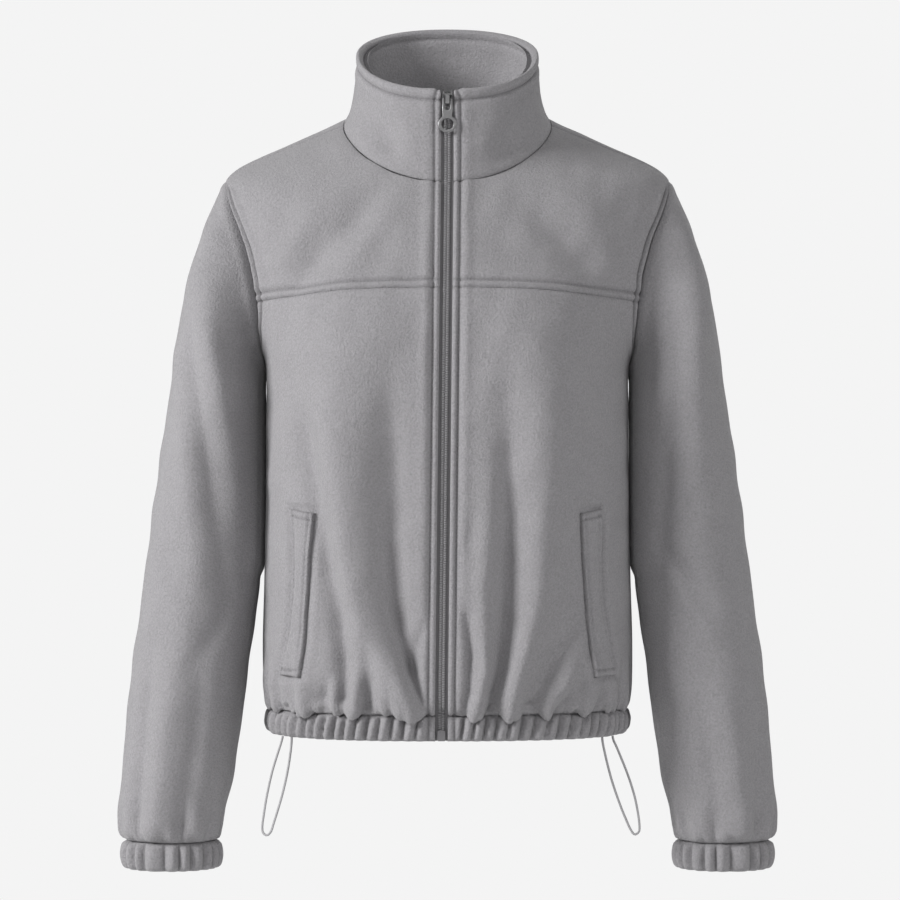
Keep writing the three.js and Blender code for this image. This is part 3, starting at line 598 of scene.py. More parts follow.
@dataclass(frozen=True)
class Finish:
    """A matt finish with a fine relief.

    Attributes:
        name: The material's name.
        slot: The record's material slot; not used.
        dark: Base colour in the hollows of the nap or weave, linear.
        light: Base colour on its tips.
        roughness: Surface roughness.
        metallic: 1 for bare metal.
        sheen: Weight of the fuzz's glow at grazing angles.
        sheen_roughness: How wide that glow is.
        grain: Size of the relief in metres.
        depth: Strength of the relief.
    """

    name: str
    slot: str
    dark: Colour
    light: Colour
    roughness: float
    metallic: float = 0.0
    sheen: float = 0.0
    sheen_roughness: float = 0.5
    grain: float = 0.001
    depth: float = 0.3

    def material(self) -> bpy.types.Material:
        """Builds the material, or finds it if it was built before."""
        known = bpy.data.materials.get(self.name)
        if known:
            return known
        made = bpy.data.materials.new(self.name)
        made.use_nodes = True
        nodes, links = made.node_tree.nodes, made.node_tree.links
        shader = nodes["Principled BSDF"]
        coordinates = nodes.new("ShaderNodeTexCoord")
        nap = nodes.new("ShaderNodeGroup")
        nap.node_tree = nap_group()
        nap.inputs["Grain"].default_value = self.grain
        nap.inputs["Depth"].default_value = self.depth
        nap.inputs["Dark"].default_value = (*self.dark, 1)
        nap.inputs["Light"].default_value = (*self.light, 1)
        # The attribute darkens the base colour as painted shade in seams, stitch grooves and gather valleys.
        pressed = nodes.new("ShaderNodeAttribute")
        pressed.attribute_name = "pressed"
        links.new(coordinates.outputs["Object"], nap.inputs["Vector"])
        links.new(pressed.outputs["Fac"], nap.inputs["Pressed"])
        links.new(nap.outputs["Colour"], shader.inputs["Base Color"])
        links.new(nap.outputs["Normal"], shader.inputs["Normal"])
        shader.inputs["Roughness"].default_value = self.roughness
        shader.inputs["Metallic"].default_value = self.metallic
        shader.inputs["Sheen Weight"].default_value = self.sheen
        shader.inputs["Sheen Roughness"].default_value = self.sheen_roughness
        shader.inputs["Specular IOR Level"].default_value = 0.5 if self.metallic else 0.2
        return made


def nap_group() -> bpy.types.NodeTree:
    """The shared relief of brushed or woven cloth, read in object space, and its painted shade.

    Two noises, one of the grain's size and one a third of it, add up to a height. The height drives a bump
    and, with a far wider noise for brushed patches, the mix between the dark and the light colour. Where the
    painted shade is given, in seams, stitch grooves and gather valleys, the colour is darkened as painted
    shade, at most by 0.62 of itself.
    """
    name, finer, patch_scale, darkening = "cloth nap", 3.1, 34.0, 0.62
    if name in bpy.data.node_groups:
        return bpy.data.node_groups[name]
    group = bpy.data.node_groups.new(name, "ShaderNodeTree")
    for label, kind, value in (
        ("Vector", "NodeSocketVector", None),
        ("Grain", "NodeSocketFloat", 0.001),
        ("Depth", "NodeSocketFloat", 0.3),
        ("Dark", "NodeSocketColor", (0.2, 0.2, 0.2, 1)),
        ("Light", "NodeSocketColor", (0.3, 0.3, 0.3, 1)),
        ("Pressed", "NodeSocketFloat", 0.0),
    ):
        socket = group.interface.new_socket(label, in_out="INPUT", socket_type=kind)
        if value is not None:
            socket.default_value = value
    group.interface.new_socket("Colour", in_out="OUTPUT", socket_type="NodeSocketColor")
    group.interface.new_socket("Normal", in_out="OUTPUT", socket_type="NodeSocketVector")
    nodes, links = group.nodes, group.links
    source, result = nodes.new("NodeGroupInput"), nodes.new("NodeGroupOutput")

    def value(operation: str, a: object, b: object) -> bpy.types.NodeSocket:
        """A sum, product or quotient of two numbers or sockets."""
        node = nodes.new("ShaderNodeMath")
        node.operation = operation
        for socket, given in zip(node.inputs, (a, b)):
            if isinstance(given, bpy.types.NodeSocket):
                links.new(given, socket)
            else:
                socket.default_value = given
        return node.outputs["Value"]

    def noise(scale: object, detail: float) -> bpy.types.NodeSocket:
        """A noise of a scale in object space."""
        node = nodes.new("ShaderNodeTexNoise")
        node.inputs["Detail"].default_value = detail
        links.new(source.outputs["Vector"], node.inputs["Vector"])
        if isinstance(scale, bpy.types.NodeSocket):
            links.new(scale, node.inputs["Scale"])
        else:
            node.inputs["Scale"].default_value = scale
        return node.outputs["Fac"]

    per_grain = value("DIVIDE", 1.0, source.outputs["Grain"])
    coarse = noise(per_grain, 3.0)
    fine = noise(value("MULTIPLY", per_grain, finer), 1.0)
    height = value("ADD", value("MULTIPLY", coarse, 0.65), value("MULTIPLY", fine, 0.35))
    patches = noise(patch_scale, 3.0)
    mixing = value("ADD", value("MULTIPLY", height, 2.0), value("MULTIPLY", patches, 0.2))
    bump = nodes.new("ShaderNodeBump")
    links.new(height, bump.inputs["Height"])
    links.new(source.outputs["Depth"], bump.inputs["Strength"])
    links.new(source.outputs["Grain"], bump.inputs["Distance"])
    mix = nodes.new("ShaderNodeMix")
    mix.data_type = "RGBA"
    mix.clamp_factor = True
    links.new(value("SUBTRACT", mixing, 0.6), mix.inputs["Factor"])
    links.new(source.outputs["Dark"], mix.inputs["A"])
    links.new(source.outputs["Light"], mix.inputs["B"])
    # Painted shade: the colour is multiplied towards black, by up to darkening, where the attribute is 1.
    shade = nodes.new("ShaderNodeMix")
    shade.data_type = "RGBA"
    shade.blend_type = "MULTIPLY"
    links.new(value("MULTIPLY", source.outputs["Pressed"], darkening), shade.inputs["Factor"])
    links.new(mix.outputs["Result"], shade.inputs["A"])
    shade.inputs["B"].default_value = (0, 0, 0, 1)
    links.new(shade.outputs["Result"], result.inputs["Colour"])
    links.new(bump.outputs["Normal"], result.inputs["Normal"])
    return group


FLEECE_FINISH = Finish(
    "brushed fleece",
    "fleece",
    (0.2, 0.195, 0.203),
    (0.315, 0.307, 0.319),
    roughness=1.0,
    sheen=0.2,
    grain=0.0019,
    depth=0.85,
)
THREAD_FINISH = Finish("sewing thread", "fleece", (0.2, 0.195, 0.205), (0.3, 0.29, 0.305), 0.8, grain=0.0004)
TAPE_FINISH = Finish("zip tape", "zip_tape", (0.12, 0.117, 0.122), (0.19, 0.186, 0.193), 0.9, grain=0.0006)
COIL_FINISH = Finish(
    "zip coil",
    "zip_coil",
    (0.22, 0.216, 0.223),
    (0.28, 0.276, 0.283),
    roughness=0.5,
    grain=0.002,
    depth=0.05,
)
METAL_FINISH = Finish(
    "zip metal",
    "zip_metal",
    (0.24, 0.238, 0.242),
    (0.28, 0.278, 0.282),
    roughness=0.34,
    metallic=0.75,
    grain=0.0008,
    depth=0.04,
)
CORD_FINISH = Finish(
    "elastic cord", "elastic_cord", (0.27, 0.265, 0.275), (0.42, 0.415, 0.425), 0.7, grain=0.0007
)


@dataclass(frozen=True)
class Cut:
    """How a cloth was cut flat: its width and length in metres, how it is held and what it rests on."""

    width: float
    length: float
    held: str
    rests_on: tuple[str, ...]

    def declare(self, made: bpy.types.Object, side: str) -> None:
        """Logs half a side's object's surface beside the cut's area."""
        half = sum(face.area for face in made.data.polygons) / 2
        area = self.width * self.length
        log.info("%s: half surface %.4f, cut %.4f, ratio %.2f", made.name, half, area, half / area)


CUTS = {
    "front": Cut(0.25, 0.385, "gathered", ("yoke_front_{side}", "hem_band", "back")),
    "yoke_front": Cut(0.2, 0.165, "laid", ("front_{side}", "collar", "back")),
    "back": Cut(0.5, 0.6, "gathered", ("yoke_front_right", "yoke_front_left", "hem_band", "collar")),
    "collar": Cut(0.46, 0.085, "folded", ("yoke_front_right", "yoke_front_left", "back")),
    "sleeve": Cut(0.38, 0.6, "gathered", ("yoke_front_{side}", "back", "cuff_{side}")),
    "cuff": Cut(0.36, 0.026, "gathered", ("sleeve_{side}",)),
    "hem_band": Cut(1.2, 0.026, "gathered", ("front_right", "front_left", "back")),
    "pocket_welt": Cut(0.023, 0.147, "laid", ("front_{side}",)),
    "zip_tape": Cut(0.015, 0.56, "laid", ("front_{side}",)),
}


def dress(made: bpy.types.Object, finish: Finish, body: Body, *nodes: str) -> bpy.types.Object:
    """Gives an object its finish, its body and the CAD nodes that it stands for.

    Args:
        made: The object.
        finish: Its finish.
        body: The body that it moves with.
        nodes: The CAD nodes that it replaces.

    Returns:
        The same object.
    """
    made.data.materials.append(finish.material())
    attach(made, body.value)
    if nodes:
        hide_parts(*nodes)
    log.info("%s: %s on %s", made.name, finish.name, body.value)
    return made


def dress_cloth(cloth: Cloth, finish: Finish = FLEECE_FINISH) -> bpy.types.Object:
    """Builds a piece of cloth, dresses it for its CAD node and logs its surface beside its cut."""
    made = dress(cloth.build(), finish, Body.JACKET, cloth.name)
    kind, _, side = cloth.name.rpartition("_")
    if side not in ("right", "left"):
        kind = cloth.name
    CUTS[kind].declare(made, side)
    return made


# Stitching


@dataclass(eq=False)
class Stitching:
    """Rows of sewing thread: short stitches, laid along lines on the cloth and gathered in one mesh."""

    name: str
    pitch: float = 3.1
    length: float = 2.5
    radius: float = 0.3
    out: float = 0.12
    dip: float = 0.35
    stitches: Copies = field(default_factory=lambda: Copies(rings=6, sides=6))

    def sew(self, line: Line, keep: slice = slice(None)) -> None:
        """Adds stitches along a line.

        A stitch is a spindle: at s from -1 to 1 along it, its radius is radius * sqrt(1 - s^6) and it dips
        dip s^2 into the cloth.

        Args:
            line: Points and outward normals.
            keep: The part of the line that is sewn.
        """
        points, normals = line[0][keep], line[1][keep]
        way = running_length(points)
        middles = np.arange(self.pitch / 2, way[-1] - self.pitch / 2, self.pitch)

        def read(values: Array, places: Array) -> Array:
            """Values along the line, read at places along it."""
            return np.stack([np.interp(places, way, values[:, k]) for k in range(3)], axis=-1)

        centres = read(points, middles)
        ahead = unit(read(points, middles + 0.8) - read(points, middles - 0.8))
        up = read(normals, middles)
        up = unit(up - ahead * (up * ahead).sum(axis=-1, keepdims=True))
        s = np.array([-1, -0.8, -0.3, 0.3, 0.8, 1.0])[:, None]
        turn = np.linspace(0, 2 * np.pi, self.stitches.sides, endpoint=False)[None]
        reach = self.radius * np.sqrt(np.maximum(1 - s**6, 0.02))
        height = reach * np.sin(turn) + self.out - self.dip * s * s
        local = np.stack(np.broadcast_arrays(s * self.length / 2, reach * np.cos(turn), height), axis=-1)
        axes = np.stack([ahead, np.cross(ahead, up), up], axis=1)
        self.stitches.add(local.reshape(-1, 3), centres, axes)

    def build(self) -> bpy.types.Object:
        """Makes the thread's object and dresses it."""
        return dress(self.stitches.build(self.name), THREAD_FINISH, Body.JACKET)


# The torso: fronts, yokes and back


@dataclass(frozen=True)
class WeltShape:
    """The outline of a pocket's welt, seen from the front: a bowed band that slants out and down.

    With u across and v down, x = top + (low - top) v - bow u sin(pi v), and z runs straight between the
    corners. The furrows are the depths of the front's dips along the inner and the outer edge.
    """

    bow: float = 5.0
    top: tuple[float, float] = (113.5, 134.0)
    low: tuple[float, float] = (125.5, 146.5)
    top_z: tuple[float, float] = (-347.5, -343.7)
    low_z: tuple[float, float] = (-491.0, -490.0)
    furrows: tuple[float, float] = (1.0, 2.2)

    def place(self, u: Array | float, v: Array) -> tuple[Array, Array]:
        """The place (x, z) on the wearer's left, at u from the inner edge and v from the top, each 0 to 1."""

        def between(ends: tuple[float, float]) -> Array | float:
            """A number that runs across the welt."""
            return ends[0] + (ends[1] - ends[0]) * u

        x = between(self.top) + (between(self.low) - between(self.top)) * v - self.bow * u * np.sin(np.pi * v)
        return x, between(self.top_z) + (between(self.low_z) - between(self.top_z)) * v

    def furrow(self, x: Array, z: Array) -> Array:
        """The front's lift round a welt: a furrow beside its outline and a soft rise beyond.

        The distance outside is the largest of the ways past the inner and outer edge, the top and the bottom.
        """
        v = (z - self.top_z[0]) / (self.low_z[0] - self.top_z[0])
        held = np.clip(v, 0, 1)
        ways = (self.place(0, held)[0] - np.abs(x), np.abs(x) - self.place(1, held)[0])
        outside = np.maximum(np.maximum(*ways), np.maximum(z - self.top_z[1], self.low_z[0] - z))
        depth = np.where(ways[0] > ways[1], *self.furrows)
        return 1.0 * bell(outside, 6.5, 4.0) - depth * bell(outside, 0.8, 2.1)


@dataclass(frozen=True, eq=False)
class Torso:
    """The closed surface of the body, from the neckline to the hem seam, and the armhole on it."""

    rings: Table = Table(
        "at half front back z_side z_front z_back square",
        [
            (0, 94, 76, 63, 0, -57, 16, 2.1),
            (55, 146, 88, 82, -21.5, -76, -12, 1.98),
            (97, 186, 96, 95, -38.5, -90, -36, 1.84),
            (114, 199.5, 99, 98.5, -50, -97, -49, 1.8),
            (138, 206, 103, 102, -70, -108, -68, 1.83),
            (165, 199, 107, 105, -98, -121, -92, 1.96),
            (222.6, 180, 115, 108, -163, -151.5, -150, 2.2),
            (280, 163.5, 122, 107, -215, -209, -208, 2.4),
            (325, 162.5, 125.5, 104, -258, -256, -255, 2.5),
            (405, 163, 125, 99, -338, -338, -338, 2.5),
            (475, 164.3, 124, 100, -408, -408, -408, 2.5),
            (530, 165.8, 125.5, 105, -463, -463, -463, 2.5),
            (565, 165, 129.5, 109, -498, -498, -498, 2.5),
            (582, 162.5, 127.5, 107, -514, -514, -514, 2.5),
            (591, 158.5, 120.5, 101.5, -522.5, -522.5, -522.5, 2.5),
        ],
    )
    front_folds: Folds = Folds(
        (
            ((-88, -130, 50, 0), (-90, -205, 50, 13), (-86, -300, 48, 12), (-82, -400, 42, 5)),
            ((76, -130, 46, 0), (76, -205, 47, 13), (74, -300, 46, 12), (70, -400, 40, 5)),
            (
                (-100, -235, 20, 1.5), (-95, -275, 20, 6), (-88, -355, 19, 8), (-82, -416, 17, 9),
                (-73, -452, 16, 9), (-57, -476, 15, 9), (-40, -499, 13, 8.5), (-29, -519, 12, 7.5),
            ),
            (
                (-50, -215, 17, -2), (-49, -285, 16, -11), (-50, -364, 14, -13.5), (-46, -416, 12, -14),
                (-40, -452, 9.5, -13.5), (-31, -481, 6.5, -12), (-24.5, -501, 5, -10), (-20, -516, 4.5, -8),
            ),
            ((-17.8, -441, 5, -2), (-27, -462, 6, -4.5), (-31, -480, 6, -5)),
            (
                (-130, -235, 12, -2), (-118, -285, 11, -10), (-109, -345, 10, -9), (-102, -390, 10, -10),
                (-93, -435, 10, -11), (-91, -475, 9, -10.5), (-91, -508, 6, -9),
            ),
            ((-69, -462, 9, -3), (-67.5, -490, 8, -8.5), (-69, -516, 6, -8)),
            ((-104, -485, 7, -1.5), (-108, -507, 6, -8), (-103, -518, 4.5, -5)),
            ((-98, -494, 5, 3), (-99, -516, 5, 5)),
            ((-141, -494, 5, -2.5), (-140, -520, 4.5, -5)),
            ((-127, -480, 10, 2), (-126, -516, 8, 5)),
            ((-79, -500, 7, 3), (-80, -518, 7, 5)),
            ((-50, -56, 12, -1), (-75, -82, 15, -5), (-116, -127, 17, -6.5), (-138, -152, 15, -3)),
            ((-40, -74, 12, 0.5), (-62, -100, 14, 3), (-88, -130, 16, 3.5), (-104, -152, 14, 1.5)),
            ((-95, -64, 14, 1), (-122, -92, 15, 3), (-146, -124, 12, 2)),
            (
                (90, -235, 22, 1.5), (86, -275, 22, 6), (80, -364, 20, 8), (74, -425, 17, 9),
                (65, -469, 13, 9), (58, -495, 10, 8.5), (54, -520, 9, 7),
            ),
            (
                (53, -225, 14, -2), (53, -290, 13, -10), (55, -345, 12, -12), (55, -399, 11, -13),
                (53, -443, 10, -13.5), (48, -479, 8, -12.5), (41, -501, 6, -11), (38, -519, 5, -9),
            ),
            (
                (37, -320, 10, 2), (31, -388, 11, 5), (29, -416, 11, 6), (31, -452, 9, 6.5), (33, -485, 8, 7),
                (27, -509, 7.5, 6.5), (22, -520, 7, 5),
            ),
            ((17, -436, 5, -3), (21, -469, 5, -5.5), (19, -501, 5, -5.5), (14, -519, 4, -4)),
            ((22, -353, 7, -1.5), (18, -375, 7, -2)),
            ((109, -440, 11, -2), (95, -470, 10, -5.5), (84, -490, 8, -8), (73, -514, 6, -9)),
            ((112, -460, 10, 3.5), (102, -496, 9, 6), (88, -517, 8, 5.5)),
            ((113, -497, 6, -4), (101, -511, 5, -7), (94, -519, 4, -6)),
            ((126, -480, 9, 3), (118, -514, 7, 5.5)),
            ((150, -495, 7, -3), (136, -511, 6, -5), (128, -519, 5, -5)),
            ((52, -58, 12, -1), (78, -84, 15, -3), (118, -129, 17, -4), (138, -152, 15, -2)),
            ((98, -66, 14, 1), (124, -94, 15, 2), (146, -124, 12, 1.5)),
        )
    )
    back_folds: Folds = Folds(
        straight(
            (-96, -330, -82, -505, 15, 5),
            (-66, -370, -58, -505, 11, -5),
            (-34, -340, -30, -505, 16, 5.5),
            (4, -390, -2, -505, 11, -4.5),
            (34, -350, 38, -505, 15, 5),
            (66, -380, 62, -505, 11, -5),
            (98, -330, 90, -505, 16, 5),
            (-118, -430, -112, -505, 10, -4),
            (120, -430, 114, -505, 10, -4),
            (-80, -60, -140, -170, 18, 2.5),
            (80, -60, 140, -170, 18, 2.5),
        )
    )
    waves: Undulation = Undulation(height=0.42, shortest=22, longest=75, seed=3)
    welt: WeltShape = WeltShape()
    shoulder: float = 114.0
    armpit: float = 280.0
    hem: float = 591.0
    yoke: float = 222.648
    body_gathers: int = 38
    gather_height: float = 3.2
    gather_reach: float = 62.0
    hem_gathers: int = 84
    lobe_drop: float = 5.5
    lobe_relief: float = 8.0
    swing_front: float = math.radians(15)
    swing_back: float = math.radians(16)
    lean: float = 0.18

    def base(self, at: Array, angle: Array) -> Array:
        """The smooth surface: the ring at a way down the cloth, at an angle, drawn over with the zip."""
        return drawn_over(ring_point(self.rings.read("at", at), angle))

    def normal(self, at: Array, angle: Array) -> Array:
        """The smooth surface's outward normal."""
        return surface_normal(self.base, at, angle)

    def relief(self, at: Array, angle: Array, base: Array) -> Array:
        """Folds, gathers and unevenness.

        Above the hem seam 38 gathers all round, and 84 small ones, add to the folds, weaker on the front.
        Everything fades towards the side seams and the stitched-down zip edges, and within 4 mm of the hem
        seam it comes down to 0.

        Args:
            at: Ways down the cloth.
            angle: Angles round it.
            base: The smooth surface's places (..., 3).

        Returns:
            How far out of the smooth surface the cloth lies.
        """
        x, y, z = base[..., 0], base[..., 1], base[..., 2]
        on_front = y < 0
        front = self.front_folds.lift(x, z) + self.welt.furrow(x, z)
        folds = np.where(on_front, front, self.back_folds.lift(x, z))
        above = self.hem - at
        plain = np.where(on_front, rising(100, 150, np.abs(x)), 1)
        gathers = self.gather_height * pinched(uneven(self.body_gathers, angle))
        gathers = gathers * gather_fade(above, self.gather_reach) * (0.25 + 0.75 * plain)
        small = (0.9 + plain) * self.small_gathers(angle) * rising(22, 3, above)
        from_zip = np.where(on_front, rising(PLACKET - 1, PLACKET + 7, np.abs(x - zip_line(z))), 1)
        calm = rising(0.06, 0.3, np.abs(np.sin(angle))) * from_zip
        return (folds + gathers + small + self.waves.at(base)) * rising(0, 4, above) * calm

    def small_gathers(self, angle: Array) -> Array:
        """The elastic's gathers, evenly spread by the way round the hem's ring and uneven in width."""
        turns = np.linspace(-np.pi, np.pi, 721)
        ring = ring_point(self.rings.read("at", np.array(self.hem)), turns)
        way = running_length(ring)
        turned = np.interp((angle + np.pi) % (2 * np.pi) - np.pi, turns, way / way[-1]) * 2 * np.pi
        return pinched(uneven(self.hem_gathers, turned))

    def point(self, at: Array, angle: Array) -> Array:
        """The surface with its relief, moved out along the smooth normal.

        Over the hem seam the ridges hang down as round lobes: from 14 mm above it on, by lobe_drop times the
        root of relief / lobe_relief. At the seam itself they have come back to it.
        """
        base = self.base(at, angle)
        relief = self.relief(at, angle, base)
        points = base + self.normal(at, angle) * relief[..., None]
        above = self.hem - at
        lobes = self.lobe_drop * np.sqrt(np.clip(relief, 0, self.lobe_relief) / self.lobe_relief)
        points[..., 2] -= lobes * rising(0, 3, above) * rising(14, 4, above)
        return points

    def armhole(self, turn: Array) -> tuple[Array, Array]:
        """The way down and the angle of the armhole at a turn from the shoulder point (0) to the armpit (pi).

        at = middle - reach cos t and angle = swing sin t (1 - lean cos t), with positive turns to the back.
        """
        middle, reach = (self.shoulder + self.armpit) / 2, (self.armpit - self.shoulder) / 2
        swing = np.where(np.sin(turn) < 0, self.swing_front, self.swing_back)
        return middle - reach * np.cos(turn), swing * np.sin(turn) * (1 - self.lean * np.cos(turn))

    def turn_at(self, at: Array) -> Array:
        """The armhole's turn at a way down, held at 0 above the shoulder point and pi below the armpit."""
        middle, reach = (self.shoulder + self.armpit) / 2, (self.armpit - self.shoulder) / 2
        return np.arccos(np.clip((middle - at) / reach, -1, 1))

    def seam(self, turn: Array) -> tuple[Array, Array, Array]:
        """The armhole seam of the wearer's left.

        Args:
            turn: Turns round the armhole.

        Returns:
            Its points, the direction of the mitre out of the cloth between body and sleeve, and the direction
            over the seam towards the sleeve.
        """
        along = unit(self.point(*self.armhole(turn + 0.01)) - self.point(*self.armhole(turn - 0.01)))
        of_sleeve = unit(np.cross(sleeve_start(turn), along))
        out = self.normal(*self.armhole(turn)) + of_sleeve
        out = unit(out - along * (out * along).sum(axis=-1, keepdims=True))
        return self.point(*self.armhole(turn)), out, unit(np.cross(along, out))

    def front_place(self, x: Array, z: Array) -> tuple[Array, Array]:
        """The way down and the angle of a place seen from the front, below the armpit.

        The ring is the one whose side height is z, and y = -front (1 - |x / half|^square)^(1 / square) on it.
        """
        row = self.rings.read("z_side", z)
        y = -row["front"] * (1 - np.abs(x / row["half"]) ** row["square"]) ** (1 / row["square"])
        return row["at"], np.arctan2(y, x)


def sleeve_start(turn: Array) -> Array:
    """The way the wearer's left sleeve leaves the armhole at a turn: out, down and to the turn's side."""
    c, s = np.cos(turn), np.sin(turn)
    return unit(np.stack([0.3 + 0.45 * s * s + 0.1 * (1 + c), 0.3 * s, -(0.5 + 0.4 * c * c)], axis=-1))


@dataclass(frozen=True, eq=False)
class BodyPanels:
    """The five panels cut for the body, each a grid between a zip edge or armhole and its neighbours."""

    torso: Torso = Torso()
    pitch: float = 2.3
    back_pitch: float = 3.8
    front_width: float = 210.0
    back_width: float = 470.0
    side_reach: float = 160.0
    edge: float = 0.42
    seam_line: float = 7.0
    yoke_strip: float = 0.55
    zip_groove: float = 5.8
    zip_strip: Bells = ((1.1, 2.8, 2.4), (-1.7, zip_groove, 1.6), (1.5, 12, 5))

    def levels(self, start: float, stop: float) -> Array:
        """Ways down the cloth, crowded at both ends and where the armhole turns quickly."""
        marks = {start: (self.edge, 1.6), stop: (self.edge, 1.6)}
        if stop == self.torso.hem:
            marks[stop - 6] = (1.0, 7.0)
        for place in (self.torso.shoulder, self.torso.armpit):
            if start < place < stop:
                marks[place] = (0.5, 3.0)
        for seam in (start, stop):
            if abs(seam - self.torso.yoke) < 1:
                marks[seam - self.seam_line] = (1.2, 2.0)
        return spaced(start, stop, self.pitch, marks)

    def side_angle(self, at: Array, way: int) -> Array:
        """How far round a panel's side edge is: on the armhole, else on the shoulder or side seam."""
        _, angle = self.torso.armhole(way * self.torso.turn_at(at))
        on_armhole = (at > self.torso.shoulder) & (at < self.torso.armpit)
        return np.where(on_armhole, angle, way * SEAM_GAP / 2 / self.side_reach)

    def grid(self, name: str, at: Array, angle: Array, ends: dict[Edge, int]) -> Cloth:
        """A panel's cloth.

        The outer face is the torso's surface. On an edge that lies on the armhole the places and normals are
        the seam's own, and within 5 mm of it the normals turn over to the seam's.

        Args:
            name: The CAD node's name.
            at: Ways down (rows,).
            angle: Angles (rows, columns).
            ends: The edges on an armhole, with the sign of X there.

        Returns:
            The cloth, not yet sewn.
        """
        down = at[:, None] + np.zeros_like(angle)
        normal = self.torso.normal(down, angle)
        face = self.torso.point(down, angle)
        cloth = Cloth(name, face, normal)
        rows = (at > self.torso.shoulder) & (at < self.torso.armpit)
        for edge, side in ends.items():
            column = 0 if edge is Edge.START else -1
            way = 1 if name == "back" else -1
            point, out, over = self.torso.seam(way * self.torso.turn_at(at[rows]))
            flip = np.array([side, 1, 1])
            face[rows, column] = (point - over * SEAM_GAP / 2) * flip
            near = rising(5, 0, cloth.distance(edge))[rows][..., None]
            normal[rows] = unit(normal[rows] * (1 - near) + (out * flip)[:, None] * near)
        return cloth

    def sew(self, cloth: Cloth, at: Array, open_edges: tuple[Edge, ...], ends: dict[Edge, int]) -> None:
        """Rounds all edges, presses the topstitched lines into the cloth and paints shade along the seams,
        stitch grooves and zip grooves.

        Args:
            cloth: The panel.
            at: Ways down (rows,).
            open_edges: Its zip edge, if it has one.
            ends: Its edges on an armhole.
        """
        on_armhole = rising(self.torso.shoulder - 1, self.torso.shoulder + 8, at)
        on_armhole = on_armhole * rising(self.torso.armpit, self.torso.armpit - 14, at)
        for edge in Edge:
            if edge in open_edges:
                cloth.round_edge(edge, 2.2, 1.7, 1.7)
            else:
                cloth.seam_edge(edge, depth=0.5 if edge is Edge.TOP and at[0] == 0 else 1.5)
        for edge in ends:
            cloth.press(topstitch(cloth.distance(edge), self.seam_line) * on_armhole[:, None])
            # Painted shade along the armhole's stitch groove.
            cloth.mark(cloth.distance(edge), self.seam_line, 1.2, 0.8 * on_armhole[:, None])
        for edge in open_edges:
            way = cloth.distance(edge)
            cloth.lift += bells(way, self.zip_strip)
            # Painted shade along the zip's stitch groove.
            cloth.mark(way, self.zip_groove, 1.1, 0.5)
            cloth.sink -= 1.6 * rising(6.5, 4.5, way)

    def front(self, side: Side, top: float, low: float, name: str) -> tuple[Cloth, Array]:
        """A front panel or yoke between the zip and the side.

        Args:
            side: The wearer's side.
            top: Its way down at the top.
            low: Its way down at the bottom.
            name: The CAD node.

        Returns:
            The cloth and its ways down.
        """
        at = self.levels(top, low)
        width = self.front_width
        marks = {0: (0.3, 1.6), width: (0.4, 2.0), ZIP_STITCH: (0.9, 2.0), width - self.seam_line: (1.0, 2.5)}
        across = spaced(0, width, self.pitch, marks) / width
        zip_angle = FRONT + np.arctan(ZIP_EDGE / self.torso.rings.read("at", at)["front"])
        end = self.side_angle(at, -1)
        angle = zip_angle[:, None] + (end - zip_angle)[:, None] * across
        ends = {Edge.END: side.value}
        cloth = self.grid(name, at, angle if side is Side.LEFT else np.pi - angle, ends)
        self.sew(cloth, at, (Edge.START,), ends)
        if name.startswith("yoke"):
            from_seam = cloth.distance(Edge.BOTTOM)
            from_zip = rising(5, 9, cloth.distance(Edge.START))
            cloth.press(self.yoke_strip * topstitch(from_seam, self.seam_line) * from_zip)
            # Painted shade along the yoke's stitch groove.
            cloth.mark(from_seam, self.seam_line, 1.1, 0.45)
        return cloth, at

    def back(self) -> tuple[Cloth, Array]:
        """The back panel, plain from the neckline to the hem, and its ways down."""
        at = self.levels(0.0, self.torso.hem)
        width, line = self.back_width, self.seam_line
        marks = {0: (0.4, 2.0), width: (0.4, 2.0), line: (1.0, 2.5), width - line: (1.0, 2.5)}
        across = spaced(0, width, self.back_pitch, marks) / width
        start = self.side_angle(at, 1)
        angle = start[:, None] + (np.pi - 2 * start)[:, None] * across
        ends = {Edge.START: 1, Edge.END: -1}
        cloth = self.grid("back", at, angle, ends)
        self.sew(cloth, at, (), ends)
        return cloth, at

    def on_armhole(self, at: Array) -> slice:
        """The rows of a panel whose side edge is topstitched along the armhole."""
        rows = np.flatnonzero((at > self.torso.shoulder + 2) & (at < self.torso.armpit - 9))
        return slice(rows[0], rows[-1] + 1)

    def build(self, thread: Stitching) -> None:
        """Makes the yokes, the fronts and the back, and sews the zip edges, armholes and yoke seams."""
        gap, seam, hem = SEAM_GAP / 2, self.torso.yoke, self.torso.hem
        for side in Side:
            yoke, yoke_at = self.front(side, 0.0, seam - gap, f"yoke_front_{side.label}")
            dress_cloth(yoke)
            front, front_at = self.front(side, seam + gap, hem, f"front_{side.label}")
            dress_cloth(front)
            for cloth, at in ((yoke, yoke_at), (front, front_at)):
                thread.sew(cloth.line(Edge.START, ZIP_STITCH))
                thread.sew(cloth.line(Edge.END, self.seam_line), self.on_armhole(at))
            thread.sew(yoke.line(Edge.BOTTOM, self.seam_line))
        back, back_at = self.back()
        for edge in (Edge.START, Edge.END):
            thread.sew(back.line(edge, self.seam_line), self.on_armhole(back_at))
        dress_cloth(back)


# The collar


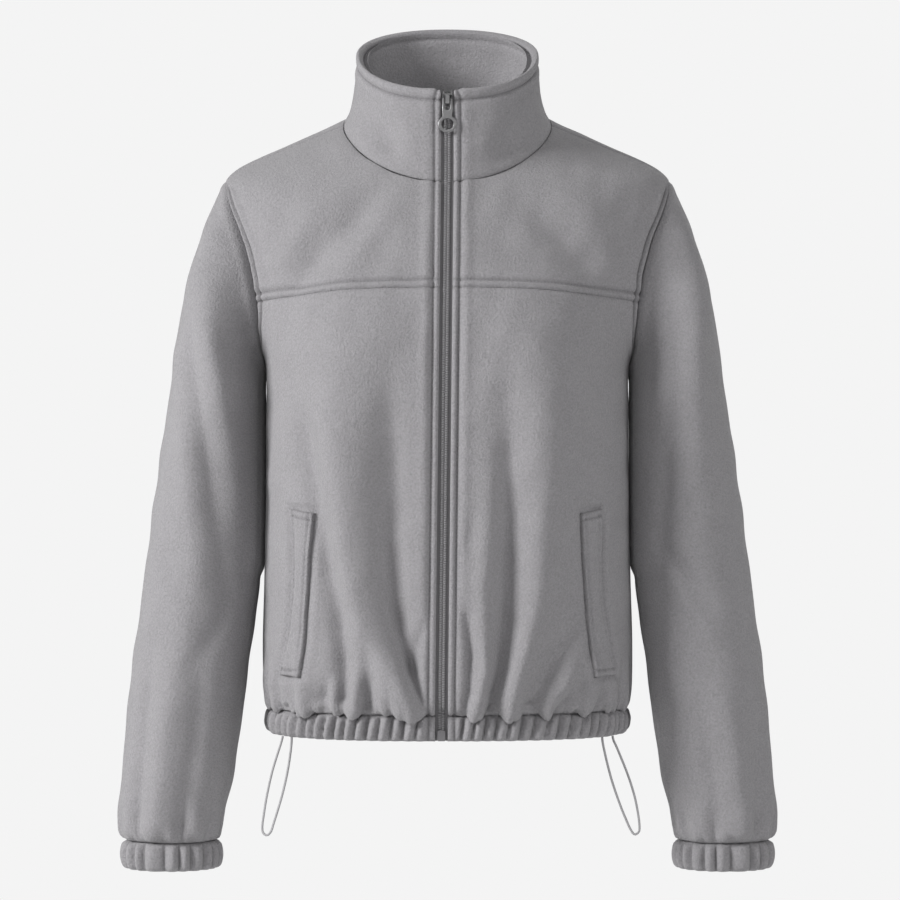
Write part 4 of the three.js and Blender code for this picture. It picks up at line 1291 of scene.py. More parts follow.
@dataclass(frozen=True, eq=False)
class Collar:
    """The stand collar: two layers of fleece with a soft, full rim."""

    rings: Table = Table(
        "at half front back z_side z_front z_back square thick",
        [
            (0, 78.6, 77.4, 53, 66, 25, 94, 2.15, 8.4),
            (3, 80.6, 79.4, 55, 64.4, 23.4, 92.6, 2.15, 9.4),
            (8, 81.5, 80.1, 56, 59.6, 18.6, 88, 2.15, 9.4),
            (24, 82.3, 79.8, 57, 44, 2, 71, 2.12, 6.2),
            (44, 84.6, 78, 58.6, 24.5, -20, 50, 2.1, 5),
            (64, 89, 76.2, 61, 8.4, -42, 28.6, 2.1, 5),
            (78, 94, 76, 63, 0.3, -56.7, 16.3, 2.1, 5),
        ],
    )
    base_at: float = 78.0
    length: float = 460.0
    pitch: float = 1.9
    rim_stitch: float = 12.5
    rim_strip: Bells = ((1.0, 5.5, 4.5), (-1.9, rim_stitch, 1.9), (0.8, rim_stitch + 7, 5))
    zip_groove: float = 5.8
    zip_strip: Bells = ((0.8, 2.8, 2.4), (-1.4, zip_groove, 1.4), (0.7, 12, 4.5))
    folds: Folds = Folds(
        straight(
            (-76, 30, -50, -26, 13, -4.4),
            (-62, 34, -34, -18, 11, 2.6),
            (76, 30, 50, -32, 13, -4.4),
            (60, 30, 36, -20, 11, 2.4),
            (-88, 20, -70, -30, 10, 2.2),
        )
    )
    waves: Undulation = Undulation(height=0.3, shortest=18, longest=60, seed=8)

    def base(self, at: Array, angle: Array) -> Array:
        """The smooth surface: the ring at a way down from the rim, at an angle."""
        return ring_point(self.rings.read("at", at), angle)

    def cloth(self) -> Cloth:
        """The collar from the zip edge on the left round the back to the zip edge on the right.

        Near the zip the rim's corners drop by a quarter ellipse 6.5 mm wide and 5.5 mm high, which fades out
        16 mm down.
        """
        marks = {0: (0.4, 4.0), self.rim_stitch: (0.9, 2.0), self.base_at: AT_SEAM}
        at = spaced(0, self.base_at, self.pitch, marks)
        length = self.length
        marks = {0: (0.3, 2.4), length: (0.3, 2.4), ZIP_STITCH: (0.9, 2), length - ZIP_STITCH: (0.9, 2)}
        across = spaced(0, length, self.pitch, marks) / length
        row = self.rings.read("at", at)
        start = FRONT + np.arctan(ZIP_EDGE / row["front"])
        angle = start[:, None] + (2 * np.pi - 2 * (start - FRONT))[:, None] * across
        from_zip = np.minimum(across, 1 - across) * length
        down = at[:, None] + roll(from_zip, 6.5, 5.5)[None] * rising(16, 0, at)[:, None]
        face = self.base(down, angle)
        normal = surface_normal(self.base, down, angle)
        thick = row["thick"][:, None] + np.zeros_like(angle)
        cloth = Cloth("collar", face, normal, thick)
        x, y, z = face[..., 0], face[..., 1], face[..., 2]
        calm = rising(0, 20, self.base_at - down) * rising(0, 16, down)
        fold = self.folds.lift(x, z) * (y < 0) * rising(PLACKET, PLACKET + 9, np.abs(x))
        cloth.press((fold + self.waves.at(face)) * calm)
        self.sew(cloth, down)
        return cloth

    def sew(self, cloth: Cloth, down: Array) -> None:
        """Rounds the rim and presses in its topstitching on both sides, and the zip edges' on the outside,
        painting shade along the outer grooves.
        """
        cloth.round_edge(Edge.TOP, 5.0, 4.1, 4.1)
        cloth.seam_edge(Edge.BOTTOM, 6.0, 1.1)
        stitched = bells(down, self.rim_strip)
        cloth.lift += stitched
        # Painted shade along the rim's stitch groove.
        cloth.mark(down, self.rim_stitch, 1.2, 0.5)
        cloth.sink -= stitched * 0.6
        for edge in (Edge.START, Edge.END):
            cloth.round_edge(edge, 2.4, 2.2, 2.2)
            way = cloth.distance(edge)
            cloth.lift += bells(way, self.zip_strip)
            # Painted shade along the zip's stitch groove.
            cloth.mark(way, self.zip_groove, 1.1, 0.5)

    def build(self, thread: Stitching) -> None:
        """Makes the collar and sews its zip edges, and its rim on both sides."""
        cloth = self.cloth()
        dress_cloth(cloth)
        for edge in (Edge.START, Edge.END):
            thread.sew(cloth.line(edge, ZIP_STITCH))
        for inside in (False, True):
            thread.sew(cloth.line(Edge.TOP, self.rim_stitch, inside))


# The sleeves and cuffs


@dataclass(frozen=True, eq=False)
class Sleeves:
    """Set-in sleeves: a cap from the armhole seam to level ovals that narrow to the cuff."""

    torso: Torso = Torso()
    ovals: Table = Table(
        "z x_in x_out depth y_middle",
        [
            (-248, 166.4, 250, 70, -3),
            (-292, 166.4, 257.2, 65.5, -5),
            (-337, 166.5, 263, 61.5, -7),
            (-409, 168, 272.6, 57, -10.5),
            (-445, 173, 277, 55.5, -13),
            (-517, 182, 285.4, 53, -17.5),
            (-571, 189.6, 290, 51, -21),
            (-607, 196.4, 292.6, 48, -23.2),
            (-630, 201.4, 290.8, 43, -24.6),
            (-640, 204.6, 287.4, 37, -25),
        ],
    )
    folds: dict[Side, Folds] = field(
        default_factory=lambda: {
            Side.RIGHT: Folds(
                (
                    ((-50, -150, 13, -1), (-58, -206, 13, -4.5), (-90, -292, 14, -5.5), (-112, -380, 14, -3),
                     (-128, -440, 12, -1)),
                    ((-75, -150, 15, 1), (-87, -206, 15, 4.5), (-118, -292, 15, 4), (-136, -360, 12, 1)),
                    ((-28, -206, 16, 2), (-66, -292, 17, 4), (-88, -400, 17, 3), (-84, -470, 17, 1)),
                    ((-48, -440, 12, 0), (-52, -510, 12, -4), (-52, -610, 12, -4.5)),
                    ((-82, -450, 14, 1), (-78, -520, 14, 4), (-76, -620, 13, 4)),
                    ((-106, -480, 10, -1), (-108, -560, 10, -3), (-104, -625, 9, -3)),
                    ((-128, -400, 11, 0.5), (-118, -450, 11, -3), (-96, -480, 10, -1)),
                    *straight(
                        (60, -160, 70, -430, 15, 4.5),
                        (95, -250, 100, -560, 13, -5),
                        (48, -380, 55, -610, 14, 4),
                        (120, -420, 84, -480, 12, -4.5),
                    ),
                )
            ),
            Side.LEFT: Folds(
                (
                    ((-60, -150, 14, 1), (-70, -230, 15, 3.5), (-84, -330, 15, 2), (-84, -420, 15, 1)),
                    ((-92, -150, 12, -1), (-104, -240, 12, -3.5), (-118, -330, 12, -3.5),
                     (-130, -400, 12, -1)),
                    ((-128, -370, 11, -2), (-104, -400, 11, -4), (-84, -432, 11, -1)),
                    ((-120, -400, 10, 1), (-98, -432, 10, 3), (-78, -460, 10, 0.5)),
                    ((-80, -480, 14, 1), (-74, -560, 14, 3.5), (-72, -625, 13, 3.5)),
                    ((-50, -500, 12, -0.5), (-48, -570, 11, -2.5), (-50, -628, 10, -3.5)),
                    ((-104, -500, 10, -0.5), (-100, -570, 10, -3), (-98, -628, 9, -4)),
                    *straight(
                        (58, -180, 66, -450, 15, 4.5),
                        (98, -260, 104, -540, 13, -5),
                        (50, -400, 60, -610, 14, 4),
                        (124, -430, 80, -490, 12, -4.5),
                    ),
                )
            ),
        }
    )
    waves: Undulation = Undulation(height=0.42, shortest=22, longest=70, seed=5)
    sleeve_gathers: int = 9
    cuff_gathers: int = 20
    gather_height: float = 2.6
    resting_lift: float = 3.4
    columns: int = 124
    cap_rows: int = 62
    pitch: float = 3.3
    cuff_columns: int = 220
    cuff_pitch: float = 1.2
    cuff_thick: float = 4.2
    cuff_fullness: float = 2.0
    cuff_press: float = 2.5

    def oval(self, z: Array, turn: Array) -> Array:
        """A level section: x = middle + half cos t and y = y_middle + depth sin t."""
        row = self.ovals.read("z", z)
        half = (row["x_out"] - row["x_in"]) / 2
        x = (row["x_in"] + row["x_out"]) / 2 + half * np.cos(turn)
        y = row["y_middle"] + row["depth"] * np.sin(turn)
        return np.stack(np.broadcast_arrays(x, y, z), axis=-1)

    def cap(self, t: Array, turn: Array) -> Array:
        """The cap: at each turn the cubic from the armhole seam to the oval at the bicep.

        It leaves along sleeve_start with 1.2 times the distance between its ends, and arrives along the
        ovals' own way down with once that distance.

        Args:
            t: From 0 at the seam to 1 (rows, 1).
            turn: Turns (columns,).

        Returns:
            Points (rows, columns, 3).
        """
        start, _, over = self.torso.seam(turn)
        start = start + over * SEAM_GAP / 2
        end = self.oval(np.full_like(turn, BICEP), turn)
        length = np.linalg.norm(end - start, axis=-1, keepdims=True)
        leave = sleeve_start(turn) * 1.2 * length
        arrive = unit(self.oval(np.full_like(turn, BICEP - 1), turn) - end) * length
        t = t[..., None]
        mixed = start * (2 * t**3 - 3 * t**2 + 1) + leave * (t**3 - 2 * t**2 + t)
        return mixed + end * (3 * t**2 - 2 * t**3) + arrive * (t**3 - t**2)

    def relief(self, side: Side, points: Array, turn: Array) -> Array:
        """Folds along the sleeve, gathers over the cuff and slight unevenness.

        Between the armpit and the elbow the inner side is pushed out by resting_lift, so that it rests on
        the body.
        """
        degrees = np.degrees((turn + np.pi) % (2 * np.pi) - np.pi)
        z = points[..., 2]
        above = z - CUFF_SEAM
        folds = self.folds[side].lift(degrees, z) * rising(0, 16, above)
        folds = folds * rising(-0.95, -0.6, np.cos(turn))
        gathers = self.gather_height * pinched(uneven(self.sleeve_gathers, turn))
        gathers = gathers * gather_fade(above, 46) * rising(0, 4, above)
        small = 1.2 * pinched(uneven(self.cuff_gathers, turn)) * rising(20, 3, above) * rising(0, 3, above)
        resting = bell(np.abs(degrees), 180, 34) ** 0.5 * rising(-190, -235, z) * rising(-412, -392, z)
        free = (folds + gathers + small) * rising(-110, -160, z)
        free = free + self.waves.at(points) * rising(-60, -110, z)
        return free * (1 - rising(0.2, 0.7, resting)) + self.resting_lift * rising(0.05, 0.95, resting)

    def sleeve(self, side: Side) -> Cloth:
        """A sleeve, its rows running down from the armhole and its columns round it from the outer edge."""
        turn = np.linspace(0, 2 * np.pi, self.columns, endpoint=False)
        t = spaced(0, 1, 1 / self.cap_rows, {0: (0.0025, 0.008), 0.06: (0.012, 0.02)})[:, None]
        low = spaced(BICEP, CUFF_SEAM + SEAM_GAP / 2, self.pitch, {CUFF_SEAM: AT_SEAM})[1:, None]
        smooth = np.concatenate([self.cap(t, turn), self.oval(low, turn)])
        normal = grid_normals(smooth, True)
        _, out, _ = self.torso.seam(turn)
        sleeve = Cloth(f"sleeve_{side.label}", smooth, normal, closed=True)
        near = rising(5, 0, sleeve.distance(Edge.TOP))[..., None]
        sleeve.normal = unit(normal * (1 - near) + out * near)
        sleeve.press(self.relief(side, smooth, turn))
        sleeve.seam_edge(Edge.TOP)
        sleeve.seam_edge(Edge.BOTTOM)
        seam = bell(np.degrees(turn), 180 + 24, 1.4) * rising(-215, -240, smooth[..., 2])
        sleeve.press(0.8 * bell(sleeve.distance(Edge.TOP), 7, 4.5) - 1.0 * seam)
        return self.placed(sleeve, side)

    def cuff(self, side: Side) -> Cloth:
        """An elastic cuff: a full, gathered casing that is drawn in at its seam and its edge."""
        columns = self.cuff_columns
        turn = np.linspace(0, 2 * np.pi, columns, endpoint=False)
        marks = {CUFF_SEAM: AT_SEAM, CUFF_EDGE: AT_RIM}
        z = spaced(CUFF_SEAM - SEAM_GAP / 2, CUFF_EDGE, self.cuff_pitch, marks)[:, None]
        down = (CUFF_SEAM - z) / (CUFF_SEAM - CUFF_EDGE)
        each_row = np.zeros((len(z), 1, 1))
        face = self.oval(np.full((1, columns), CUFF_SEAM), turn) + each_row
        face[..., 2] = z
        normal = np.stack([np.cos(turn), np.sin(turn), np.zeros_like(turn)], axis=-1) + each_row
        cuff = Cloth(f"cuff_{side.label}", face, normal, self.cuff_thick, closed=True)
        cuff.lift += self.cuff_fullness * np.sin(np.pi * np.clip(down, 0, 1)) ** 0.7
        waves = pinched(uneven(self.cuff_gathers, turn)) + 0 * down
        cuff.press(self.cuff_press * waves * (0.75 + 0.4 * np.sin(np.pi * down)) * rising(-0.02, 0.12, down))
        # Painted shade in the valleys of the gathers.
        cuff.mark(waves, -1.0, 0.45, 0.5)
        cuff.seam_edge(Edge.TOP, 4.0, 1.8)
        cuff.round_edge(Edge.BOTTOM, 4.0, 3.0, 1.0)
        return self.placed(cuff, side)

    def placed(self, cloth: Cloth, side: Side) -> Cloth:
        """The cloth on its side: the wearer's right is the mirror of the left."""
        flip = np.array([side.value, 1, 1])
        cloth.face = cloth.face * flip
        cloth.normal = cloth.normal * flip
        return cloth

    def build(self, side: Side) -> None:
        """Makes a side's sleeve and cuff."""
        dress_cloth(self.sleeve(side))
        dress_cloth(self.cuff(side))


# The hem band and the pocket welts


@dataclass(frozen=True, eq=False)
class HemBand:
    """The gathered elastic casing round the hem, open at the zip."""

    torso: Torso = Torso()
    thick: float = 4.6
    length: float = 900.0
    stitch: float = 11.5
    fullness: float = 1.9
    gather_press: float = 2.9

    def cloth(self) -> Cloth:
        """The band: the hem seam's ring let down, full in its middle, with the hem's uneven gathers."""
        across = spaced(0, self.length, 1.5, {0: AT_RIM, self.length: AT_RIM}) / self.length
        marks = {HEM_SEAM: AT_SEAM, HEM_EDGE: AT_RIM}
        z = spaced(HEM_SEAM - SEAM_GAP / 2, HEM_EDGE, 1.6, marks)[:, None]
        row = self.torso.rings.read("at", np.array(self.torso.hem))
        start = FRONT + math.atan(ZIP_EDGE / float(row["front"]))
        angle = start + (2 * np.pi - 2 * (start - FRONT)) * across + 0 * z

        def let_down(down: Array, turn: Array) -> Array:
            """The hem's ring at a level of -down, drawn over with the zip."""
            ring = ring_point(row, turn)
            ring[..., 2] = -down
            return drawn_over(ring)

        down = -z + 0 * angle
        face = let_down(down, angle)
        band = Cloth("hem_band", face, surface_normal(let_down, down, angle), self.thick)
        part = (HEM_SEAM - z) / (HEM_SEAM - HEM_EDGE)
        from_middle = np.where(face[..., 1] < 0, np.abs(face[..., 0] - zip_line(z)), 100)
        from_zip = rising(PLACKET - 1, PLACKET + 5, from_middle)
        full = self.fullness * np.sin(np.pi * np.clip(part, 0, 1)) ** 0.7
        band.lift += full - 1.5 * bell(from_middle, self.stitch, 1.5)
        # Painted shade along the stitch groove.
        band.mark(from_middle, self.stitch, 1.1, 0.5)
        waves = self.torso.small_gathers(angle + 0.03 * part) + 0.35 * np.cos(29 * angle + 1)
        gathers = self.gather_press * waves * (0.8 + 0.35 * np.sin(np.pi * part))
        band.press(gathers * from_zip * rising(-0.02, 0.12, part))
        # Painted shade in the valleys of the gathers.
        band.mark(waves, -1.0, 0.45, 0.5 * from_zip)
        band.seam_edge(Edge.TOP, 4.0, 1.8)
        band.round_edge(Edge.BOTTOM, 4.0, 3.4, 1.0)
        for edge in (Edge.START, Edge.END):
            band.round_edge(edge, 3.0, 2.2, 2.2)
        return band

    def build(self) -> None:
        """Makes the band."""
        dress_cloth(self.cloth())


@dataclass(frozen=True, eq=False)
class Welts:
    """The two slanted pockets: a bowed welt of fleece sewn on each front."""

    torso: Torso = Torso()
    width: float = 22.0
    length: float = 146.0
    thick: float = 2.0
    clear: float = 0.5
    crowding: Crowding = (0.35, 1.4)
    end_stitch: float = 6.5
    side_stitch: float = 3.0
    side_strip: Bells = ((0.9, 2.2, 1.5), (-1.3, 4.6, 1.2))

    def cloth(self, side: Side) -> Cloth:
        """A welt laid on the front's own surface, moved out."""
        width, length, fine, near = self.width, self.length, self.crowding, (1, 1.5)
        u = spaced(0, width, 1.1, {0: fine, width: fine})[None] / width
        v = spaced(0, length, 2.4, {0: fine, length: fine, 7: near, length - 7: near})[:, None] / length
        x, z = self.torso.welt.place(u, v)
        at, angle = self.torso.front_place(x * side.value, z)
        normal = self.torso.normal(at, angle)
        face = self.torso.point(at, angle) + normal * (self.clear + self.thick)
        welt = Cloth(f"pocket_welt_{side.label}", face, normal, self.thick)
        for edge in Edge:
            welt.round_edge(edge, 1.6, 1.9, 0)
            # Painted shade along the welt's rim.
            welt.mark(welt.distance(edge), 0, 1.2, 0.4)
        for edge in (Edge.TOP, Edge.BOTTOM):
            welt.lift -= 1.1 * bell(welt.distance(edge), self.end_stitch, 1.2)
            # Painted shade along the end stitch grooves.
            welt.mark(welt.distance(edge), self.end_stitch, 0.9, 0.5)
        for edge in (Edge.START, Edge.END):
            welt.lift += bells(welt.distance(edge), self.side_strip)
        return welt

    def build(self, side: Side, thread: Stitching) -> None:
        """Makes a side's welt and sews its ends and its inner edge."""
        welt = self.cloth(side)
        dress_cloth(welt)
        for edge in (Edge.TOP, Edge.BOTTOM):
            thread.sew(welt.line(edge, self.end_stitch))
        thread.sew(welt.line(Edge.START, self.side_stitch))


# The zip


@dataclass(frozen=True, eq=False)
class Zip:
    """The separating zip: two tapes, two coils, a box, a slider and its pull."""

    torso: Torso
    neck: Collar
    coil_pitch: float = 1.5
    coil_radius: float = 0.62
    coil_low: float = -534.4
    coil_top: float = 10.0
    coil_off: float = 1.55
    coil_depth: float = 1.75
    coil_reach: float = 1.4
    tape_top: float = 22.0
    tape_low: float = HEM_EDGE + 0.6
    tape_inner: float = 1.6
    tape_outer: float = 14.6
    tape_on_collar: float = 5.2
    core_reach: float = 2.7
    slider_face: float = -80.0
    pivot: float = 14.6
    pull_y: float = -81.2

    def line(self, z: Array, x: Array, depth: Array) -> Line:
        """Places behind the front's face along the zip.

        The collar's front line runs above the neckline, the torso's below it, and the hem's ring is let down
        below the hem seam.

        Args:
            z: Heights.
            x: The distance from the middle.
            depth: How far behind the face.

        Returns:
            The points and the outward normals.
        """
        front = np.full_like(z, FRONT)
        collar_at = self.neck.rings.read("z_front", z)["at"]
        torso_at = self.torso.rings.read("z_front", np.maximum(z, HEM_SEAM))["at"]
        on_collar = (z > NECKLINE + 0.1)[..., None]
        middle = np.where(on_collar, self.neck.base(collar_at, front), self.torso.base(torso_at, front))
        out = np.where(
            on_collar, surface_normal(self.neck.base, collar_at, front), self.torso.normal(torso_at, front)
        )
        out = np.where((z < HEM_SEAM + 2)[..., None], np.array([0.0, -1.0, 0.0]), out)
        middle[..., 2] = z
        points = middle - out * depth[..., None]
        points[..., 0] = x + zip_line(z)
        return points, out

    def tape(self, side: Side) -> Cloth:
        """A woven tape behind a front's edge, from the slider to the box."""
        z = np.linspace(self.tape_top, self.tape_low, 236)[:, None] + np.zeros((1, 5))
        wide = np.where(z > NECKLINE - 1, self.tape_on_collar, self.tape_outer)
        part = np.array([0, 0.04, 0.5, 0.96, 1.0])[None]
        x = (self.tape_inner + (wide - self.tape_inner) * part) * side.value
        points, out = self.line(z, x, np.full_like(z, FLEECE + 0.75))
        return Cloth(f"zip_tape_{side.label}", points, out, 0.7)

    def coils(self) -> bpy.types.Object:
        """Two rows of coil turns that mesh in the middle.

        Each turn is a level capsule, coil_reach to both sides of its middle and a little arched: at s from -1
        to 1 along it, its radius is coil_radius * sqrt(1 - s^6). The left row stands half a pitch lower than
        the right one.
        """
        copies = Copies(rings=6, sides=8)
        turns = np.arange(self.coil_top, self.coil_low, -self.coil_pitch)
        s = np.array([-1, -0.85, -0.3, 0.3, 0.85, 1.0])[:, None]
        angle = np.linspace(0, 2 * np.pi, copies.sides, endpoint=False)[None]
        reach = self.coil_radius * np.sqrt(np.maximum(1 - s**6, 0.03))
        arched = reach * np.cos(angle) - 0.35 * s * s
        flattened = reach * np.sin(angle) * 0.85
        local = np.stack(np.broadcast_arrays(s * self.coil_reach, arched, flattened), axis=-1).reshape(-1, 3)
        sideways = np.array([1.0, 0, 0])
        for side in Side:
            z = turns - (self.coil_pitch / 2 if side is Side.LEFT else 0)
            x, depth = np.full_like(z, self.coil_off * side.value), np.full_like(z, self.coil_depth)
            centres, out = self.line(z, x, depth)
            axes = np.stack([np.broadcast_to(sideways, out.shape), out, np.cross(sideways, out)], axis=1)
            copies.add(local, centres, axes)
        return copies.build("zip_coils")

    def core(self) -> bpy.types.Object:
        """The cord and thread behind the coils, a flat strip that closes the gap between the tapes."""
        z = np.linspace(self.coil_top, self.tape_low, 230)[:, None] + np.zeros((1, 3))
        x = np.array([-self.core_reach, 0, self.core_reach]) + 0 * z
        points, out = self.line(z, x, np.full_like(z, FLEECE))
        return Cloth("zip_core", points, out, 0.7).build()

    def plate(
        self, name: str, loops: list[Outline], y: float, thick: float, bevel: float
    ) -> bpy.types.Object:
        """A flat hard part cut to outlines seen from the front, its rims rounded.

        Args:
            name: The object's name.
            loops: Closed outlines (x, z), the first outside and the others holes.
            y: The middle of its thickness.
            thick: Its thickness.
            bevel: The radius of its rims.

        Returns:
            A mesh object.
        """
        flat = [np.array([(x, z, 0) for x, z in loop], float) for loop in loops]
        shape = poly_curve(name, flat, bevel, closed=True)
        shape.data.fill_mode = "BOTH"
        shape.data.extrude = (thick / 2 - bevel) * MM
        shape.data.offset = -bevel * MM
        bpy.context.view_layer.update()
        mesh = bpy.data.meshes.new_from_object(shape.evaluated_get(bpy.context.evaluated_depsgraph_get()))
        bpy.data.objects.remove(shape)
        co = np.zeros(len(mesh.vertices) * 3, np.float32)
        mesh.vertices.foreach_get("co", co)
        co = co.reshape(-1, 3)
        mesh.vertices.foreach_set("co", np.stack([co[:, 0], y * MM - co[:, 2], co[:, 1]], axis=1).ravel())
        mesh.materials.clear()
        mesh.update()
        return linked(name, mesh)

    def pull(self) -> bpy.types.Object:
        """The pull: a fork on the slider's arch, a neck and a finger ring."""

        def arc(rx: float, rz: float, start: float, stop: float, count: int) -> Outline:
            """Points of an ellipse round the ring's middle."""
            turns = np.linspace(start, stop, count)
            return [(rx * math.cos(t), -7 + rz * math.sin(t)) for t in turns]

        top = self.pivot + 0.7
        outer = [(-4.5, top), (-4.5, 4.6), (-4.1, 1.0)]
        outer += arc(8.0, 7.6, math.pi * 0.68, math.pi * 2.32, 44)
        outer += [(4.1, 1.0), (4.5, 4.6), (4.5, top), (2.5, top), (2.5, 6.6), (1.6, 5.5), (0.9, 5.2)]
        outer += [(-0.9, 5.2), (-1.6, 5.5), (-2.5, 6.6), (-2.5, top)]
        hole = arc(5.4, 5.0, 0, 2 * math.pi * 39 / 40, 40)
        return self.plate("zip_pull_tab", [outer, hole], self.pull_y, 1.4, 0.45)

    def slider(self) -> bpy.types.Object:
        """The slider's front plate, shaped as a shield."""
        shield = [(-3.2, 10.2), (3.2, 10.2), (3.9, 11.5), (4.5, 18.5), (4.3, 20.6), (3.4, 22)]
        shield += [(-3.4, 22), (-4.3, 20.6), (-4.5, 18.5), (-3.9, 11.5)]
        return self.plate("zip_slider_plate", [shield], self.slider_face + 0.6, 1.2, 0.4)

    def box(self) -> bpy.types.Object:
        """The box at the bottom of the zip: a small plate with cut lower corners."""
        x = float(zip_line(np.array(self.coil_low)))
        rim = [(-3.6, -535.2), (-3.6, -543.2), (-2.8, -544.2), (2.8, -544.2), (3.6, -543.2), (3.6, -535.2)]
        rim += [(1.2, -534.6), (-1.2, -534.6)]
        front = float(self.line(np.array([-540.0]), np.zeros(1), np.zeros(1))[0][0, 1])
        return self.plate("zip_box_plate", [[(x + a, z) for a, z in rim]], front + 1.6, 2.4, 0.6)

    def build(self) -> None:
        """Makes all pieces of the zip."""
        for side in Side:
            dress_cloth(self.tape(side), TAPE_FINISH)
        dress(self.coils(), COIL_FINISH, Body.JACKET, "zip_chain")
        dress(self.core(), TAPE_FINISH, Body.JACKET)
        dress(self.slider(), METAL_FINISH, Body.JACKET)
        dress(self.box(), TAPE_FINISH, Body.JACKET, "zip_box")
        dress(self.pull(), METAL_FINISH, Body.PULL, "zip_pull")


# Cords and studio


@dataclass(frozen=True, eq=False)
class HemCords:
    """The elastic cord's two loops that hang out of the hem band, at rest under their own weight."""

    diameter: float = 2.1
    routes: dict[Side, tuple[Place, ...]] = field(
        default_factory=lambda: {
            Side.RIGHT: (
                (-145.2, -60, -544.8),
                (-146.2, -60, -549),
                (-148.4, -60, -556),
                (-151.6, -59.6, -566),
                (-154.8, -59.2, -577),
                (-157.6, -58.8, -589),
                (-160.2, -58.4, -602),
                (-162.2, -58, -615),
                (-163.4, -57.8, -624),
                (-162.9, -57.8, -630.2),
                (-159.4, -58.2, -632.6),
                (-156, -58.8, -629.6),
                (-153.4, -59.4, -622),
                (-149.6, -60.4, -610),
                (-145.8, -61.8, -597),
                (-142.6, -63.4, -584),
                (-140, -65.2, -571),
                (-138.2, -67, -559),
                (-137.2, -68.2, -550),
                (-137, -68.6, -544.8),
            ),
            Side.LEFT: (
                (136, -69.2, -544.8),
                (136.4, -69, -549),
                (138, -68.2, -557),
                (140.8, -66.8, -569),
                (144.6, -65, -583),
                (149.2, -63.2, -597),
                (154, -61.6, -610),
                (158.2, -60.2, -620),
                (161.4, -59.2, -627),
                (165.2, -58.6, -631.8),
                (169, -58, -629.4),
                (169.4, -57.8, -623),
                (168, -57.6, -612),
                (165.6, -57.6, -600),
                (162.2, -57.8, -588),
                (158, -58.2, -576),
                (153.2, -58.8, -564),
                (149, -59.4, -554),
                (146.4, -59.8, -548.4),
                (145.6, -60, -544.8),
            ),
        }
    )

    def build(self, side: Side) -> bpy.types.Object:
        """One loop: a smooth curve through its route, with the cord's own thickness."""
        route = np.array(self.routes[side])
        name = f"hem_cord_{side.label}"
        way = running_length(route)
        table = Table("way x y z", [(w, *p) for w, p in zip(way, route)])
        fine = table.read("way", np.linspace(0, way[-1], 90))
        points = np.stack([fine["x"], fine["y"], fine["z"]], axis=-1)
        made = poly_curve(name + "_loop", [points], self.diameter / 2, closed=False)
        made.data.use_fill_caps = True
        dress(made, CORD_FINISH, Body.JACKET, name)
        return made


@dataclass(frozen=True)
class Light:
    """A soft rectangular light."""

    name: str
    place: Place
    size: float
    power: float

    def build(self, target: Place) -> None:
        """Makes the light and turns it to a point."""
        data = bpy.data.lights.new(self.name, "AREA")
        data.shape = "SQUARE"
        data.size = self.size
        data.energy = self.power
        made = linked(self.name, data)
        made.location = self.place
        way = np.array(target) - np.array(self.place)
        flat = math.hypot(way[0], way[1])
        made.rotation_euler = (math.atan2(flat, -way[2]), 0, math.atan2(-way[0], way[1]))


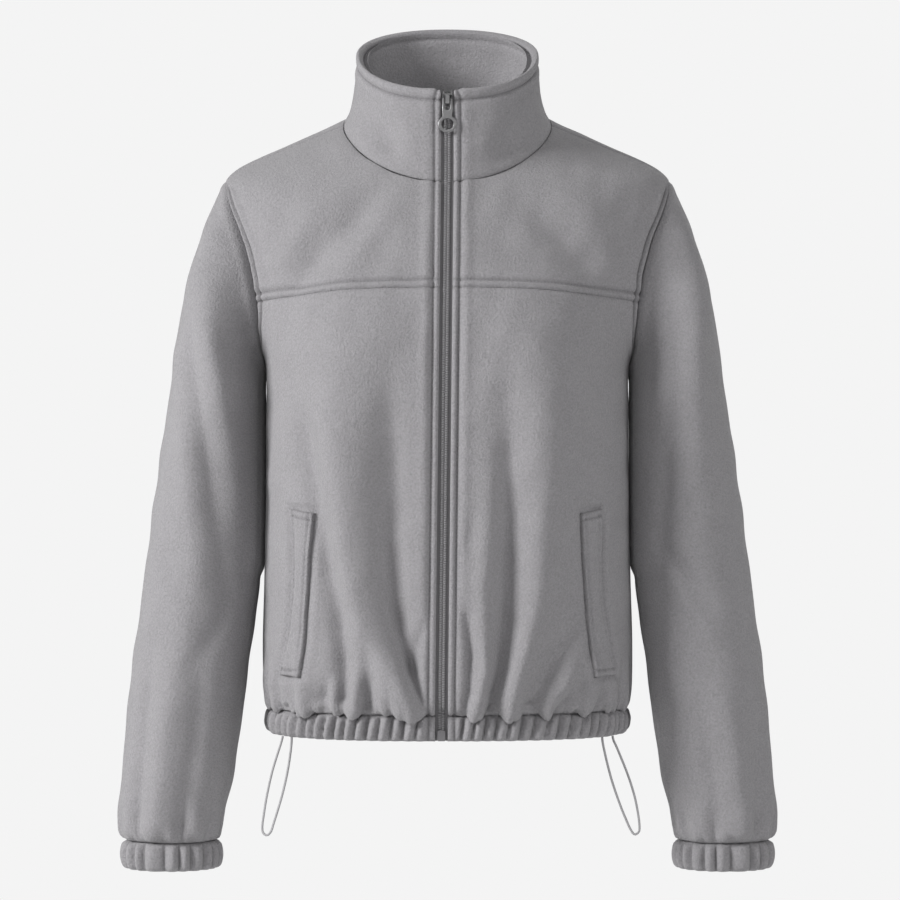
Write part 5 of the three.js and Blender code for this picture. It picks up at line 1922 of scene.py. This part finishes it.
@dataclass(frozen=True)
class Studio:
    """A pale floor and surroundings, soft lights and the camera at the photograph's angle."""

    centre: Place = (0.0, 0.0, -0.2925)
    aside: float = 0.00225
    distance: float = 3.0
    lens: float = 133.3333
    sensor: float = 36.0
    floor: float = -1.05
    radius: float = 2.4
    ambient: float = 0.17
    paper: float = 0.905
    lights: tuple[Light, ...] = (
        Light("key light", (-2.45, -1.25, 0.7), 0.9, 102.0),
        Light("fill light", (2.4, -1.5, 0.3), 1.2, 27.0),
        Light("front light", (-0.5, -2.9, 1.5), 1.2, 27.0),
        Light("back light", (1.3, 2.8, 1.2), 1.4, 36.0),
    )

    def camera(self) -> None:
        """Makes the camera, level and square to the front."""
        data = bpy.data.cameras.new("camera")
        data.lens = self.lens
        data.sensor_width = self.sensor
        made = linked("camera", data)
        made.location = (self.aside, -self.distance, self.centre[2])
        made.rotation_euler = (math.pi / 2, 0, 0)
        bpy.context.scene.camera = made

    def backdrop(self) -> None:
        """Makes the plain pale floor, a disc."""
        corners = 96
        turns = np.linspace(0, 2 * np.pi, corners, endpoint=False)
        rim = np.stack([np.cos(turns), np.sin(turns), np.zeros(corners)], axis=-1) * self.radius
        rim[:, 2] = self.floor
        points = np.concatenate([rim, [[0, 0, self.floor]]]) / MM
        ids = np.arange(corners)
        wedges = np.stack([ids, np.roll(ids, -1), np.full(corners, corners)], axis=-1)
        disc = new_mesh("studio floor", points, wedges)
        paper = bpy.data.materials.new("studio paper")
        paper.use_nodes = True
        shader = paper.node_tree.nodes["Principled BSDF"]
        shader.inputs["Base Color"].default_value = (0.8, 0.8, 0.8, 1)
        shader.inputs["Roughness"].default_value = 1.0
        shader.inputs["Specular IOR Level"].default_value = 0.0
        disc.data.materials.append(paper)
        disc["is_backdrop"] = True

    def light(self) -> None:
        """Makes the lights and the pale surroundings, which look brighter than they shine."""
        for light in self.lights:
            light.build(self.centre)
        world = bpy.data.worlds.new("studio")
        world.use_nodes = True
        nodes, links = world.node_tree.nodes, world.node_tree.links
        rays = nodes.new("ShaderNodeLightPath")
        strength = nodes.new("ShaderNodeMapRange")
        strength.inputs["To Min"].default_value = self.ambient
        strength.inputs["To Max"].default_value = self.paper
        links.new(rays.outputs["Is Camera Ray"], strength.inputs["Value"])
        nodes["Background"].inputs["Color"].default_value = (1, 1, 1, 1)
        links.new(strength.outputs["Result"], nodes["Background"].inputs["Strength"])
        bpy.context.scene.world = world
        bpy.context.scene.view_settings.view_transform = "Standard"


def write_size(label: str, sizes: dict[str, list[list[float]]]) -> None:
    """Notes the shown objects' box under a label."""
    low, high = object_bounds()
    sizes[label] = [[round(float(v), 4) for v in low], [round(float(v), 4) for v in high]]


def main() -> None:
    """Builds the camera and the cords, the jacket piece by piece, and then the studio round it."""
    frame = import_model()
    sizes: dict[str, list[list[float]]] = {}
    write_size("frame", sizes)
    studio = Studio()
    studio.camera()
    cords = HemCords()
    for side in Side:
        cords.build(side)
    torso, collar = Torso(), Collar()
    thread = Stitching("topstitching")
    BodyPanels(torso).build(thread)
    collar.build(thread)
    sleeves, welts = Sleeves(torso), Welts(torso)
    for side in Side:
        sleeves.build(side)
        welts.build(side, thread)
    HemBand(torso).build()
    Zip(torso, collar).build()
    thread.build()
    slider = frame["nodes"]["zip_slider"]
    slider.data.materials.clear()
    slider.data.materials.append(METAL_FINISH.material())
    studio.backdrop()
    studio.light()
    write_size("dressed", sizes)
    log.info("size %s", sizes)


if __name__ == "__main__":
    main()
